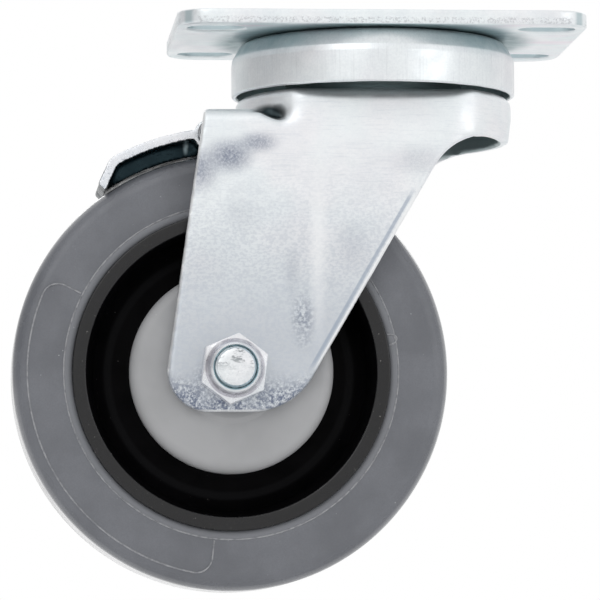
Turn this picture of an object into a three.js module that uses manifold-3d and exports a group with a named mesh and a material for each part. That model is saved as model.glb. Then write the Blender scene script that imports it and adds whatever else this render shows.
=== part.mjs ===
// Swivel plate caster with a tread brake, in millimetres. +Z is up.
// The origin is on the swivel axis, in the top face of the mounting plate. The wheel trails towards -X,
// and the axle lies along Y with its nut on the -Y side.
import * as THREE from "three";
import { mergeVertices } from "three/addons/utils/BufferGeometryUtils.js";
import Module from "manifold-3d";

const wasm = await Module();
wasm.setup();

// ---- Driving dimensions -------------------------------------------------------------------------
const GAP = 0.3; // clearance kept between neighbouring solids

const PLATE_LENGTH = 95.25;
const PLATE_WIDTH = 66.7;
const PLATE_THICKNESS = 3.5;
const PLATE_CORNER_RADIUS = 8;
const PLATE_EDGE_BREAK = 0.5;
const SLOT_SPACING_X = 77;
const SLOT_SPACING_Y = 47.6;
const SLOT_LENGTH = 13.3;
const SLOT_WIDTH = 9;

const CUP_RADIUS = 33.5; // the drawn raceway cup under the plate
const CUP_SHEET = 1.3;
const CUP_BOTTOM = -16.7;
const CUP_BAND_TOP = -8.6;
const CUP_SHOULDER_RADIUS = 31;
const CUP_SHOULDER_CHAMFER = 1.2;

const KINGPIN_RADIUS = 6.35;
const KINGPIN_HEAD_RADIUS = 10;
const KINGPIN_HEAD_HEIGHT = 4;
const KINGPIN_FLARE_RADIUS = 8.6;
const KINGPIN_FLARE_BOTTOM = -2.8;
const KINGPIN_TOP_RECESS = 0.2;

const UPPER_BALLS = 16;
const UPPER_BALL_RADIUS = 3.175;
const UPPER_BALL_CIRCLE = 17;
const UPPER_BALL_SINK = 2.3; // how far the fork's top is below the balls' centres
const LOWER_BALLS = 12;
const LOWER_BALL_RADIUS = 2.38;
const LOWER_BALL_CIRCLE = 11.5;
const LOWER_BALL_SINK = 1.7; // how far the lower race's top is below the balls' centres
const LOWER_RACE_RADIUS = 16;
const LOWER_RACE_THICKNESS = 3;

const SHEET = 2.7; // fork sheet
const FORK_SKIRT_RADIUS = 32.6;
const FORK_SKIRT_BOTTOM = -27.8;
const FORK_SKIRT_TAPER = 0.7; // how much narrower the skirt's bottom is
const FORK_SHOULDER_TOP = -17.1;
const FORK_CROWN_RADIUS = 20.2; // the raised middle that carries the balls
const FORK_HOLE_RADIUS = 8.5;
const FORK_HALF_WIDTH_TOP = 25;
const FORK_HALF_WIDTH_AXLE = 22.3;
const FORK_TAPER_TOP = -30;
const FORK_TAPER_BOTTOM = -62;
const FORK_BEND_RADIUS = 3;
const REAR_FLANGE_TOP = -22;
const REAR_FLANGE_EDGE = -35.2; // the flange is cut back here, to let the pedal's knuckle swing
const PEDAL_NOTCH_HALF_WIDTH = 20.8;
const LEG_REAR_START = -6.65; // the rear edge's top end, from the axle
const LEG_FRONT_START = 13.87; // the front edge's bottom end, from the axle
const LEG_REAR_SLOPE = 0.142; // how far the rear edge leans back for each millimetre down
const LEG_FRONT_SLOPE = 0.578; // how far the front edge runs back for each millimetre down
const LEG_BOTTOM = -9.7; // below the axle centre
const LEG_REAR_RADIUS = 9.6;
const LEG_FRONT_RADIUS = 21;
const LEG_FLARE_RADIUS = 15; // where the front edge curls out into the skirt's bottom

const SWIVEL_OFFSET = 34.7; // the axle's distance behind the swivel axis
const AXLE_DROP = 82.55; // the axle's distance below the plate's top face
const AXLE_RADIUS = 4.7625;
const HEX_ACROSS_FLATS = 14.3;
const NUT_HEX_HEIGHT = 6.6;
const NUT_HEIGHT = 10.4;
const NUT_COLLAR_RADIUS = 5.75;
const NUT_TURN = 7; // degrees about the axle
const BOLT_HEAD_HEIGHT = 6;

const TYRE_RADIUS = 50.8;
const TYRE_WIDTH = 31.75;
const TYRE_INNER_RADIUS = 37;
const RIM_INNER_RADIUS = 33.8;
const RIM_HALF_WIDTH = 17.2;
const HUB_RADIUS = 19.6;
const HUB_HALF_LENGTH = 17.2;
const GUARD_RADIUS = 23.7;
const GUARD_SHEET = 1.2;
const GUARD_SKIRT = 6.5;
const GUARD_FACE = 18.9; // the guard's outer face, from the wheel's middle plane
const BUSHING_RADIUS = 6.35;

const BEARING_WIDTH = 6.6;
const BEARING_FACE = 17;
const BEARING_BORE = BUSHING_RADIUS + GAP;
const BEARING_OUTSIDE = 14.5;
const BEARING_BALLS = 8;
const BEARING_BALL_RADIUS = 1.9;
const BEARING_BALL_CIRCLE = 10.6;
const BEARING_GROOVE_DEPTH = 0.5;

const PEDAL_THICKNESS = 2.2;
const PEDAL_WIDTH = 28;
const PEDAL_ARC_RADIUS = 56.2; // the sheet's middle, about the axle
const PEDAL_ARC_START = 97; // degrees from +X
const PEDAL_ARC_END = 118; // where the lip's bend starts
const PEDAL_BEND_RADIUS = 4; // of the bend's outer face
const PEDAL_BEND_TURN = 38;
const PEDAL_LIP_BREAK = 0.8; // how much shorter the lip's outer face is
const PEDAL_LIP_LENGTH = 6;
const SHOE_FROM = 98; // degrees from +X: the shoe is a trough pressed down out of the pedal
const SHOE_TO = 124.4; // where its underside meets the lip
const SHOE_HALF_WIDTH = 8.5;
const SHOE_DEPTH = 3.4;
const PEDAL_PIVOT = [-39.5, -27.1]; // x and z of the pivot pin
const PEDAL_KNUCKLE_RADIUS = 3.7;
const PEDAL_PIN_RADIUS = 1.6;
const SPRING_WIRE_RADIUS = 0.5;
const SPRING_COIL_RADIUS = 2.5;
const SPRING_TURNS = 3;

const ROUND = 36; // segments of a large turned piece
const SMALL_ROUND = 18; // segments of a small one
const BEYOND = 100; // reaches past every face of the part, for the ends of cutting shapes

// ---- Materials ----------------------------------------------------------------------------------
function finish(color, roughness, metalness) {
  return () => new THREE.MeshStandardMaterial({ color, roughness, metalness });
}
const zinc = finish(0xcfd5d8, 0.38, 0.9);
const drawnZinc = finish(0xc9cccf, 0.32, 0.9);
const ballSteel = finish(0xd8d8da, 0.12, 1);
const greyRubber = finish(0x6a6c73, 0.7, 0);
const blackPlastic = finish(0x131314, 0.25, 0);
const greyPlastic = finish(0x96979b, 0.55, 0);
const springSteel = finish(0x8f9194, 0.35, 1);

// ---- Shape helpers ------------------------------------------------------------------------------
// A closed three.js geometry as a solid, whichever way its faces were wound.
function solid(geometry) {
  const loose = geometry.index ? geometry.toNonIndexed() : geometry.clone();
  loose.deleteAttribute("normal");
  loose.deleteAttribute("uv");
  const merged = mergeVertices(loose, 1e-4);
  const corners = merged.index.array;
  const triangles = [];
  for (let i = 0; i < corners.length; i += 3) {
    const [a, b, c] = [corners[i], corners[i + 1], corners[i + 2]];
    if (a !== b && b !== c && c !== a) triangles.push([a, b, c]);
  }
  const build = (list) =>
    new wasm.Manifold(
      new wasm.Mesh({
        numProp: 3,
        vertProperties: new Float32Array(merged.attributes.position.array),
        triVerts: new Uint32Array(list.flat()),
      }),
    );
  const made = build(triangles);
  return made.volume() > 0 ? made : build(triangles.map(([a, b, c]) => [a, c, b]));
}

function union(first, ...others) {
  return others.reduce((sum, piece) => sum.add(piece), first);
}

// A profile of [radius, height] pairs turned about Z.
function turnedZ(profile, segments) {
  return solid(latheOf(profile, segments).rotateX(Math.PI / 2));
}

// The same, turned about Y, for everything on the axle.
function turnedY(profile, segments) {
  return solid(latheOf(profile, segments));
}

function latheOf(profile, segments) {
  const onAxis = profile[0][0] === 0 && profile.at(-1)[0] === 0;
  const points = onAxis ? profile : [...profile, profile[0]];
  return new THREE.LatheGeometry(
    points.map(([r, h]) => new THREE.Vector2(r, h)),
    segments,
  );
}

function cylinderY(radius, y0, y1, segments = SMALL_ROUND) {
  return turnedY([[0, y0], [radius, y0], [radius, y1], [0, y1]], segments);
}

function block(x0, x1, y0, y1, z0, z1) {
  const box = new THREE.BoxGeometry(x1 - x0, y1 - y0, z1 - z0);
  return solid(box.translate((x0 + x1) / 2, (y0 + y1) / 2, (z0 + z1) / 2));
}

// An outline in the XZ plane extruded along Y from y0 to y1.
function extrudedY(outline, y0, y1) {
  const shape = new THREE.Shape(outline.map((p) => new THREE.Vector2(...p)));
  const geometry = new THREE.ExtrudeGeometry(shape, { depth: y1 - y0, bevelEnabled: false });
  return solid(geometry.rotateX(Math.PI / 2).translate(0, y1, 0));
}

// Half of a symmetric YZ section, from its top middle outwards and down, mirrored and extruded along X.
function extrudedX(half, x0, x1) {
  const section = [...half, ...half.slice().reverse().filter(([y]) => y > 0).map(([y, z]) => [-y, z])];
  const shape = new THREE.Shape(section.map((p) => new THREE.Vector2(...p)));
  const geometry = new THREE.ExtrudeGeometry(shape, { depth: x1 - x0, bevelEnabled: false });
  return solid(geometry.rotateX(Math.PI / 2).rotateZ(Math.PI / 2).translate(x0, 0, 0));
}

// Points of an arc, its angles in degrees.
function arc(cx, cz, radius, from, to, steps) {
  return Array.from({ length: steps + 1 }, (_, i) => {
    const a = THREE.MathUtils.degToRad(from + ((to - from) * i) / steps);
    return [cx + radius * Math.cos(a), cz + radius * Math.sin(a)];
  });
}

const part = new THREE.Group();
const wheelFrame = new THREE.Group(); // its own Y axis is the axle
wheelFrame.position.set(-SWIVEL_OFFSET, 0, -AXLE_DROP);
part.add(wheelFrame);

function add(name, body, material, group = part) {
  const { numProp, vertProperties, triVerts } = body.getMesh();
  const positions = new Float32Array((vertProperties.length / numProp) * 3);
  for (let i = 0; i < positions.length / 3; i++)
    positions.set(vertProperties.subarray(i * numProp, i * numProp + 3), i * 3);
  const geometry = new THREE.BufferGeometry();
  geometry.setAttribute("position", new THREE.BufferAttribute(positions, 3));
  geometry.setIndex(new THREE.BufferAttribute(new Uint32Array(triVerts), 1));
  geometry.computeVertexNormals();
  const mesh = new THREE.Mesh(geometry, material());
  mesh.name = name;
  group.add(mesh);
  return mesh;
}

// ---- Levels that follow from the driving dimensions ---------------------------------------------
const cupTop = -PLATE_THICKNESS - GAP;
const cupRoofUnderside = cupTop - CUP_SHEET;
const upperBallZ = cupRoofUnderside - GAP - UPPER_BALL_RADIUS;
const upperGrooveRadius = UPPER_BALL_RADIUS + GAP;
const forkTop = upperBallZ - UPPER_BALL_SINK;
const forkTopUnderside = forkTop - SHEET;
const lowerBallZ = forkTopUnderside - GAP - LOWER_BALL_RADIUS;
const lowerRaceTop = lowerBallZ - LOWER_BALL_SINK;
const lowerRaceBottom = lowerRaceTop - LOWER_RACE_THICKNESS;
const kingpinHeadTop = lowerRaceBottom - GAP;
const kingpinHeadBottom = kingpinHeadTop - KINGPIN_HEAD_HEIGHT;
const legInnerFace = FORK_HALF_WIDTH_AXLE - SHEET;
const shoeBottom = PEDAL_ARC_RADIUS - PEDAL_THICKNESS / 2 - SHOE_DEPTH;

// ---- Plate and swivel head ----------------------------------------------------------------------
function roundedRectangle(length, width, radius) {
  const [x, y] = [length / 2, width / 2];
  const shape = new THREE.Shape();
  shape.moveTo(-x + radius, -y);
  shape.lineTo(x - radius, -y);
  shape.absarc(x - radius, -y + radius, radius, -Math.PI / 2, 0);
  shape.lineTo(x, y - radius);
  shape.absarc(x - radius, y - radius, radius, 0, Math.PI / 2);
  shape.lineTo(-x + radius, y);
  shape.absarc(-x + radius, y - radius, radius, Math.PI / 2, Math.PI);
  shape.lineTo(-x, -y + radius);
  shape.absarc(-x + radius, -y + radius, radius, Math.PI, 1.5 * Math.PI);
  return shape;
}

function slotCutter(x, y) {
  const shape = roundedRectangle(SLOT_LENGTH, SLOT_WIDTH, SLOT_WIDTH / 2 - 0.01);
  const depth = PLATE_THICKNESS + 2;
  const geometry = new THREE.ExtrudeGeometry(shape, { depth, bevelEnabled: false, curveSegments: 4 });
  return solid(geometry.translate(x, y, -PLATE_THICKNESS - 1));
}

function topPlate() {
  const shape = roundedRectangle(
    PLATE_LENGTH - 2 * PLATE_EDGE_BREAK,
    PLATE_WIDTH - 2 * PLATE_EDGE_BREAK,
    PLATE_CORNER_RADIUS - PLATE_EDGE_BREAK,
  );
  const geometry = new THREE.ExtrudeGeometry(shape, {
    depth: PLATE_THICKNESS - 2 * PLATE_EDGE_BREAK,
    bevelThickness: PLATE_EDGE_BREAK,
    bevelSize: PLATE_EDGE_BREAK,
    bevelSegments: 1,
    curveSegments: 4,
  });
  let plate = solid(geometry.translate(0, 0, -PLATE_THICKNESS + PLATE_EDGE_BREAK));
  for (const x of [-SLOT_SPACING_X / 2, SLOT_SPACING_X / 2])
    for (const y of [-SLOT_SPACING_Y / 2, SLOT_SPACING_Y / 2]) plate = plate.subtract(slotCutter(x, y));
  const hole = KINGPIN_RADIUS + GAP;
  const flare = KINGPIN_FLARE_RADIUS + GAP;
  const bottom = -PLATE_THICKNESS - 1;
  const flareBottom = KINGPIN_FLARE_BOTTOM - GAP;
  const rivetHole = [[0, bottom], [hole, bottom], [hole, flareBottom], [flare, -0.7], [flare, 1], [0, 1]];
  return plate.subtract(turnedZ(rivetHole, SMALL_ROUND));
}

function racewayCup() {
  const inner = CUP_RADIUS - CUP_SHEET;
  const bore = KINGPIN_RADIUS + GAP;
  return turnedZ(
    [
      [bore, cupTop],
      [CUP_SHOULDER_RADIUS - CUP_SHOULDER_CHAMFER, cupTop],
      [CUP_SHOULDER_RADIUS, cupTop - CUP_SHOULDER_CHAMFER],
      [CUP_RADIUS, CUP_BAND_TOP],
      [CUP_RADIUS, CUP_BOTTOM],
      [inner, CUP_BOTTOM],
      [inner, CUP_BAND_TOP - 0.3],
      [CUP_SHOULDER_RADIUS - 2, cupRoofUnderside],
      [bore, cupRoofUnderside],
    ],
    ROUND,
  );
}

function kingpin() {
  const top = -KINGPIN_TOP_RECESS;
  const edge = 0.4;
  const chamfer = [2, 1.5]; // across and up the head's lower corner
  return turnedZ(
    [
      [0, top],
      [KINGPIN_FLARE_RADIUS - edge, top],
      [KINGPIN_FLARE_RADIUS, top - edge],
      [KINGPIN_RADIUS, KINGPIN_FLARE_BOTTOM],
      [KINGPIN_RADIUS, kingpinHeadTop],
      [KINGPIN_HEAD_RADIUS, kingpinHeadTop],
      [KINGPIN_HEAD_RADIUS, kingpinHeadBottom + chamfer[1]],
      [KINGPIN_HEAD_RADIUS - chamfer[0], kingpinHeadBottom],
      [0, kingpinHeadBottom],
    ],
    SMALL_ROUND,
  );
}

function lowerRace() {
  const bore = KINGPIN_RADIUS + GAP;
  const groove = arc(LOWER_BALL_CIRCLE, lowerBallZ, LOWER_BALL_RADIUS + GAP, -139, -41, 4);
  const rimTop = groove.at(-1)[1];
  const chamfer = 0.6;
  return turnedZ(
    [
      [bore, lowerRaceBottom],
      [bore, lowerRaceTop],
      ...groove,
      [LOWER_RACE_RADIUS - chamfer, rimTop],
      [LOWER_RACE_RADIUS, rimTop - chamfer],
      [LOWER_RACE_RADIUS, lowerRaceBottom],
    ],
    SMALL_ROUND,
  );
}

// Loose balls on a circle about the swivel axis, each its own piece.
function addBallCircle(prefix, count, radius, circle, z) {
  for (let i = 0; i < count; i++) {
    const angle = (2 * Math.PI * i) / count;
    const ball = add(`${prefix}_${i + 1}`, solid(new THREE.IcosahedronGeometry(radius, 1)), ballSteel);
    ball.position.set(circle * Math.cos(angle), circle * Math.sin(angle), z);
  }
}

// ---- Fork ---------------------------------------------------------------------------------------
// The side outline of both legs: a narrow rounded foot around the axle, a steep rear edge and a
// raked front edge that curls out into the skirt's bottom.
function legOutline() {
  const top = REAR_FLANGE_TOP;
  const [ax, az] = [-SWIVEL_OFFSET, -AXLE_DROP];
  const bottom = az + LEG_BOTTOM;
  const rearTop = ax + LEG_REAR_START;
  const rearBottom = rearTop - (top - bottom) * LEG_REAR_SLOPE;
  const frontBottom = ax + LEG_FRONT_START;
  const frontTop = frontBottom + (FORK_SKIRT_BOTTOM - bottom) * LEG_FRONT_SLOPE;
  const rearAngle = Math.atan(LEG_REAR_SLOPE);
  const frontAngle = Math.atan(LEG_FRONT_SLOPE);
  const rearTangent = LEG_REAR_RADIUS / Math.tan(Math.PI / 4 - rearAngle / 2);
  const frontTurn = Math.tan(Math.PI / 4 - frontAngle / 2);
  const [rear, front, flare] = [LEG_REAR_RADIUS, LEG_FRONT_RADIUS, LEG_FLARE_RADIUS];
  const flareEnd = frontTop + flare * frontTurn;
  const lean = THREE.MathUtils.radToDeg(frontAngle);
  return [
    [rearTop, top],
    ...arc(rearBottom + rearTangent, bottom + rear, rear, 180 + THREE.MathUtils.radToDeg(rearAngle), 270, 6),
    ...arc(frontBottom - front * frontTurn, bottom + front, front, 270, 360 - lean, 6),
    ...arc(flareEnd, FORK_SKIRT_BOTTOM - flare, flare, 180 - lean, 90, 6),
    [flareEnd, top],
  ];
}

// Half of the legs' section across the fork, inset by the given sheet thickness.
function legSection(inset) {
  const radius = FORK_BEND_RADIUS - inset;
  const top = REAR_FLANGE_TOP - inset;
  const wide = FORK_HALF_WIDTH_TOP - inset;
  const narrow = FORK_HALF_WIDTH_AXLE - inset;
  return [
    [0, top],
    ...arc(wide - radius, top - radius, radius, 90, 0, 4),
    [wide, FORK_TAPER_TOP],
    [narrow, FORK_TAPER_BOTTOM],
    [narrow, -2 * BEYOND],
    [0, -2 * BEYOND],
  ];
}

// Half of the dome's section across the fork: flat sides with a rounded bend into the shoulder.
function domeSection(inset) {
  const radius = FORK_BEND_RADIUS - inset;
  const top = FORK_SHOULDER_TOP - inset;
  const wide = FORK_HALF_WIDTH_TOP - inset;
  return [
    [0, 0],
    [wide - radius, 0],
    ...arc(wide - radius, top - radius, radius, 90, 0, 4),
    [wide, -AXLE_DROP],
    [0, -AXLE_DROP],
  ];
}

// The dome's outer profile: a flat top with the ball groove, a step down to the shoulder that the
// raceway cup covers, and the skirt.
function domeOuter() {
  const groove = arc(UPPER_BALL_CIRCLE, upperBallZ, upperGrooveRadius, 221.5, 318.5, 3);
  const shoulder = FORK_SHOULDER_TOP;
  return turnedZ(
    [
      [0, forkTop],
      ...groove,
      [FORK_CROWN_RADIUS, forkTop],
      [FORK_CROWN_RADIUS + 1, forkTop - 1],
      [FORK_CROWN_RADIUS + 1.4, shoulder],
      [30.2, shoulder - 0.1],
      [FORK_SKIRT_RADIUS - 0.9, shoulder - 1],
      [FORK_SKIRT_RADIUS, shoulder - 4],
      [FORK_SKIRT_RADIUS - FORK_SKIRT_TAPER, FORK_SKIRT_BOTTOM],
      [0, FORK_SKIRT_BOTTOM],
    ],
    ROUND,
  );
}

function domeInner() {
  const shoulder = FORK_SHOULDER_TOP - SHEET;
  const skirt = FORK_SKIRT_RADIUS - SHEET;
  const grooveBottom = upperBallZ - upperGrooveRadius - SHEET;
  return turnedZ(
    [
      [0, forkTopUnderside],
      [UPPER_BALL_CIRCLE - 3, forkTopUnderside],
      [UPPER_BALL_CIRCLE - 1.4, grooveBottom],
      [FORK_CROWN_RADIUS - 1.6, grooveBottom],
      [FORK_CROWN_RADIUS - 1.2, shoulder],
      [28.4, shoulder - 0.2],
      [skirt, shoulder - 2.4],
      [skirt - FORK_SKIRT_TAPER, FORK_SKIRT_BOTTOM - 1],
      [0, FORK_SKIRT_BOTTOM - 1],
    ],
    ROUND,
  );
}

// The room that the legs may fill: everything behind the swivel axis, and the skirt's round ahead of it.
function legRoom() {
  const round = FORK_SKIRT_RADIUS - FORK_SKIRT_TAPER;
  const ahead = turnedZ([[0, -BEYOND], [round, -BEYOND], [round, 0], [0, 0]], ROUND);
  const behind = block(-BEYOND, 0, -BEYOND, BEYOND, -BEYOND, 0);
  return ahead.add(behind).intersect(extrudedX(legSection(0), -BEYOND, BEYOND));
}

function fork() {
  const legs = extrudedY(legOutline(), -BEYOND, BEYOND).intersect(legRoom());
  const dome = domeOuter().intersect(extrudedX(domeSection(0), -BEYOND, BEYOND));
  const hollow = domeInner().intersect(extrudedX(domeSection(SHEET), -BEYOND, BEYOND));
  const channel = extrudedX(legSection(SHEET), -BEYOND, BEYOND);
  const rearChannel = channel.intersect(block(-BEYOND, 0, -BEYOND, BEYOND, -2 * BEYOND, 0));
  const underSkirt = block(-BEYOND, BEYOND, -BEYOND, BEYOND, -2 * BEYOND, FORK_SKIRT_BOTTOM - 0.2);
  const notch = PEDAL_NOTCH_HALF_WIDTH;
  const pedalNotch = block(-BEYOND, REAR_FLANGE_EDGE, -notch, notch, FORK_TAPER_TOP, FORK_SHOULDER_TOP);
  const kingpinHole = turnedZ(
    [[0, -BEYOND], [FORK_HOLE_RADIUS, -BEYOND], [FORK_HOLE_RADIUS, 0], [0, 0]],
    SMALL_ROUND,
  );
  const axleHole = cylinderY(AXLE_RADIUS + GAP, -BEYOND, BEYOND).translate([-SWIVEL_OFFSET, 0, -AXLE_DROP]);
  const pinSeats = cylinderY(PEDAL_PIN_RADIUS + GAP, -pinSeatEnd(), pinSeatEnd())
    .translate([PEDAL_PIVOT[0], 0, PEDAL_PIVOT[1]]);
  const holes = [pedalNotch, kingpinHole, axleHole, pinSeats, ...bendReliefs()];
  const cuts = [hollow, rearChannel, channel.intersect(underSkirt), ...holes];
  return cuts.reduce((body, cut) => body.subtract(cut), legs.add(dome));
}

// A small opening in each side, where the legs' bend meets the dome's wall.
function bendReliefs() {
  const top = REAR_FLANGE_TOP;
  const [rear, front] = [-29.5, -22.8];
  const outline = [
    [rear, top + 0.6],
    [rear + 0.3, top - 0.4],
    [rear + 3.5, top - 1.7],
    [front, top - 2.6],
    [front + 0.8, top - 2],
    [front, top + 0.6],
  ];
  const innermost = 20;
  return [extrudedY(outline, -BEYOND, -innermost), extrudedY(outline, innermost, BEYOND)];
}

// The pivot pin's ends sit in blind seats, one millimetre deep in the legs' inner faces.
function pinSeatEnd() {
  return FORK_HALF_WIDTH_TOP - SHEET + 1;
}

// ---- Axle ---------------------------------------------------------------------------------------
function hexPrism(height) {
  const radius = HEX_ACROSS_FLATS / Math.sqrt(3);
  return solid(new THREE.CylinderGeometry(radius, radius, height, 6));
}

// A cone that takes the corners off a hexagon's face at height y, on the side of the given sign.
function cornerChamfer(y, side) {
  const flat = HEX_ACROSS_FLATS / 2 - 0.35;
  const reach = 4;
  const wide = flat + reach;
  const start = y - side * reach * Math.tan(Math.PI / 6);
  const end = -side * BEYOND;
  return turnedY([[0, y], [flat, y], [wide, start], [wide, end], [0, end]], SMALL_ROUND);
}

function axleBolt() {
  const headStart = FORK_HALF_WIDTH_AXLE + GAP;
  const headEnd = headStart + BOLT_HEAD_HEIGHT;
  const tip = -(FORK_HALF_WIDTH_AXLE + GAP + NUT_HEIGHT + 0.8);
  const point = 0.75; // the tip's chamfer
  const shank = turnedY(
    [
      [0, tip],
      [AXLE_RADIUS - point, tip],
      [AXLE_RADIUS, tip + point],
      [AXLE_RADIUS, headEnd - 1],
      [0, headEnd - 1],
    ],
    SMALL_ROUND,
  );
  const head = hexPrism(BOLT_HEAD_HEIGHT).translate([0, headStart + BOLT_HEAD_HEIGHT / 2, 0]);
  return shank.add(head.intersect(cornerChamfer(headEnd, 1)));
}

function axleNut() {
  const back = -(FORK_HALF_WIDTH_AXLE + GAP);
  const hexFace = back - NUT_HEX_HEIGHT;
  const end = back - NUT_HEIGHT;
  const hex = hexPrism(NUT_HEX_HEIGHT)
    .translate([0, back - NUT_HEX_HEIGHT / 2, 0])
    .rotate([0, NUT_TURN, 0])
    .intersect(cornerChamfer(hexFace, -1));
  const collar = turnedY(
    [
      [0, back - 1],
      [NUT_COLLAR_RADIUS + 0.9, back - 1],
      [NUT_COLLAR_RADIUS + 0.9, hexFace],
      [NUT_COLLAR_RADIUS + 0.2, hexFace - 1.6],
      [NUT_COLLAR_RADIUS, end + 0.5],
      [NUT_COLLAR_RADIUS - 0.5, end],
      [0, end],
    ],
    SMALL_ROUND,
  );
  return hex.add(collar).subtract(cylinderY(AXLE_RADIUS + GAP / 2, -BEYOND, 0));
}

function spannerBushing() {
  const half = legInnerFace - GAP;
  const bore = AXLE_RADIUS + GAP;
  return turnedY([[bore, -half], [BUSHING_RADIUS, -half], [BUSHING_RADIUS, half], [bore, half]], SMALL_ROUND);
}

// ---- Wheel --------------------------------------------------------------------------------------
function wheelCore() {
  const seat = BEARING_OUTSIDE + GAP;
  const seatBottom = BEARING_FACE - BEARING_WIDTH - GAP;
  const rimOuter = TYRE_INNER_RADIUS - GAP;
  const half = [
    [9.5, seatBottom],
    [seat, seatBottom],
    [seat, HUB_HALF_LENGTH],
    [HUB_RADIUS, HUB_HALF_LENGTH],
    [HUB_RADIUS + 1.6, 4.2],
    [RIM_INNER_RADIUS - 2, 4.2],
    [RIM_INNER_RADIUS, RIM_HALF_WIDTH],
    [rimOuter, RIM_HALF_WIDTH],
    [rimOuter, 4],
    [rimOuter + 1.8, 3.2],
  ];
  return turnedY(mirrored(half), ROUND);
}

// The whole section from its half at positive Y: out along it, then back along its mirror image.
function mirrored(half) {
  const back = half.slice().reverse().filter(([, y]) => y > 0).map(([r, y]) => [r, -y]);
  return [...half, ...back];
}

function tyre() {
  const edge = TYRE_WIDTH / 2;
  const half = [
    [TYRE_INNER_RADIUS + 1.8, 3.6],
    [TYRE_INNER_RADIUS, 4.4],
    [TYRE_INNER_RADIUS, edge],
    [TYRE_INNER_RADIUS + 2.1, edge],
    ...arc(TYRE_RADIUS - 4, edge - 4.9, 4, 76, 0, 3),
  ];
  return turnedY(mirrored(half), ROUND);
}

function threadGuard(side) {
  const bore = BUSHING_RADIUS + 1.6;
  const corner = 2.2;
  const [inner, skirtEnd] = [GUARD_RADIUS - GUARD_SHEET, GUARD_FACE - GUARD_SKIRT];
  const profile = [
    [bore, GUARD_FACE - GUARD_SHEET],
    [bore, GUARD_FACE],
    [GUARD_RADIUS - corner, GUARD_FACE],
    ...arc(GUARD_RADIUS - corner, GUARD_FACE - corner, corner, 45, 0, 1),
    [GUARD_RADIUS, skirtEnd],
    [inner, skirtEnd],
    [inner, GUARD_FACE - GUARD_SHEET],
  ];
  return turnedY(profile.map(([r, y]) => [r, side * y]), ROUND);
}

// Each bearing is a grooved inner ring, a grooved outer ring and a cage that holds the balls.
function bearingRing(inside, outside, grooveInOutside, side) {
  const middle = BEARING_FACE - BEARING_WIDTH / 2;
  const half = BEARING_WIDTH / 2;
  const grooveHalf = 1.5;
  const wall = grooveInOutside ? outside : inside;
  const bottom = wall + (grooveInOutside ? -BEARING_GROOVE_DEPTH : BEARING_GROOVE_DEPTH);
  const plain = grooveInOutside ? inside : outside;
  const profile = [
    [plain, middle - half],
    [wall, middle - half],
    [wall, middle - grooveHalf],
    [bottom, middle],
    [wall, middle + grooveHalf],
    [wall, middle + half],
    [plain, middle + half],
  ];
  return turnedY(profile.map(([r, y]) => [r, side * y]), SMALL_ROUND);
}

function ballCage(side) {
  const middle = side * (BEARING_FACE - BEARING_WIDTH / 2);
  const ring = turnedY(
    [
      [BEARING_BALL_CIRCLE - 0.5, middle - 1.1],
      [BEARING_BALL_CIRCLE + 0.5, middle - 1.1],
      [BEARING_BALL_CIRCLE + 0.5, middle + 1.1],
      [BEARING_BALL_CIRCLE - 0.5, middle + 1.1],
    ],
    2 * BEARING_BALLS,
  );
  const balls = Array.from({ length: BEARING_BALLS }, (_, i) => {
    const angle = (2 * Math.PI * i) / BEARING_BALLS;
    return solid(new THREE.IcosahedronGeometry(BEARING_BALL_RADIUS, 0)).translate([
      BEARING_BALL_CIRCLE * Math.cos(angle),
      middle,
      BEARING_BALL_CIRCLE * Math.sin(angle),
    ]);
  });
  return union(ring, ...balls);
}

// ---- Brake --------------------------------------------------------------------------------------
// A curved strip over the tread, concentric with the wheel, whose rear lip bends down to the tread and
// whose front end is curled round the pivot pin.
function brakePedal() {
  const [px, pz] = PEDAL_PIVOT;
  const edge = PEDAL_WIDTH / 2;
  const strip = extrudedY(pedalOutline(), -edge, edge);
  const knuckle = cylinderY(PEDAL_KNUCKLE_RADIUS, -edge, edge).translate([px, 0, pz]);
  const bore = cylinderY(PEDAL_PIN_RADIUS + GAP, -PEDAL_WIDTH, PEDAL_WIDTH).translate([px, 0, pz]);
  return union(strip, knuckle, shoe()).subtract(shoePocket()).subtract(bore);
}

// The strip's side outline: an arc about the axle, a tight bend, and the lip.
function pedalOutline() {
  const [ax, az] = [-SWIVEL_OFFSET, -AXLE_DROP];
  const half = PEDAL_THICKNESS / 2;
  const outer = arc(ax, az, PEDAL_ARC_RADIUS + half, PEDAL_ARC_START, PEDAL_ARC_END, 8);
  const inner = arc(ax, az, PEDAL_ARC_RADIUS - half, PEDAL_ARC_END, PEDAL_ARC_START, 8);
  const bendCentre = PEDAL_ARC_RADIUS + half - PEDAL_BEND_RADIUS;
  const [[bx, bz]] = arc(ax, az, bendCentre, PEDAL_ARC_END, PEDAL_ARC_END, 1);
  const lipAngle = PEDAL_ARC_END + PEDAL_BEND_TURN;
  const bendOuter = arc(bx, bz, PEDAL_BEND_RADIUS, PEDAL_ARC_END, lipAngle, 3);
  const bendInner = arc(bx, bz, PEDAL_BEND_RADIUS - PEDAL_THICKNESS, lipAngle, PEDAL_ARC_END, 3);
  const along = THREE.MathUtils.degToRad(lipAngle + 90);
  const lipEnd = ([x, z], length) => [x + length * Math.cos(along), z + length * Math.sin(along)];
  return [
    ...outer,
    ...bendOuter.slice(1),
    lipEnd(bendOuter.at(-1), PEDAL_LIP_LENGTH - PEDAL_LIP_BREAK),
    lipEnd(bendInner[0], PEDAL_LIP_LENGTH),
    ...bendInner.slice(0, -1),
    ...inner,
  ];
}

// The trough's outside, which runs on under the bend as far as the lip.
function shoe() {
  return bandAboutAxle(shoeBottom, PEDAL_ARC_RADIUS, SHOE_FROM, SHOE_TO, PEDAL_ARC_END, SHOE_HALF_WIDTH);
}

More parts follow.
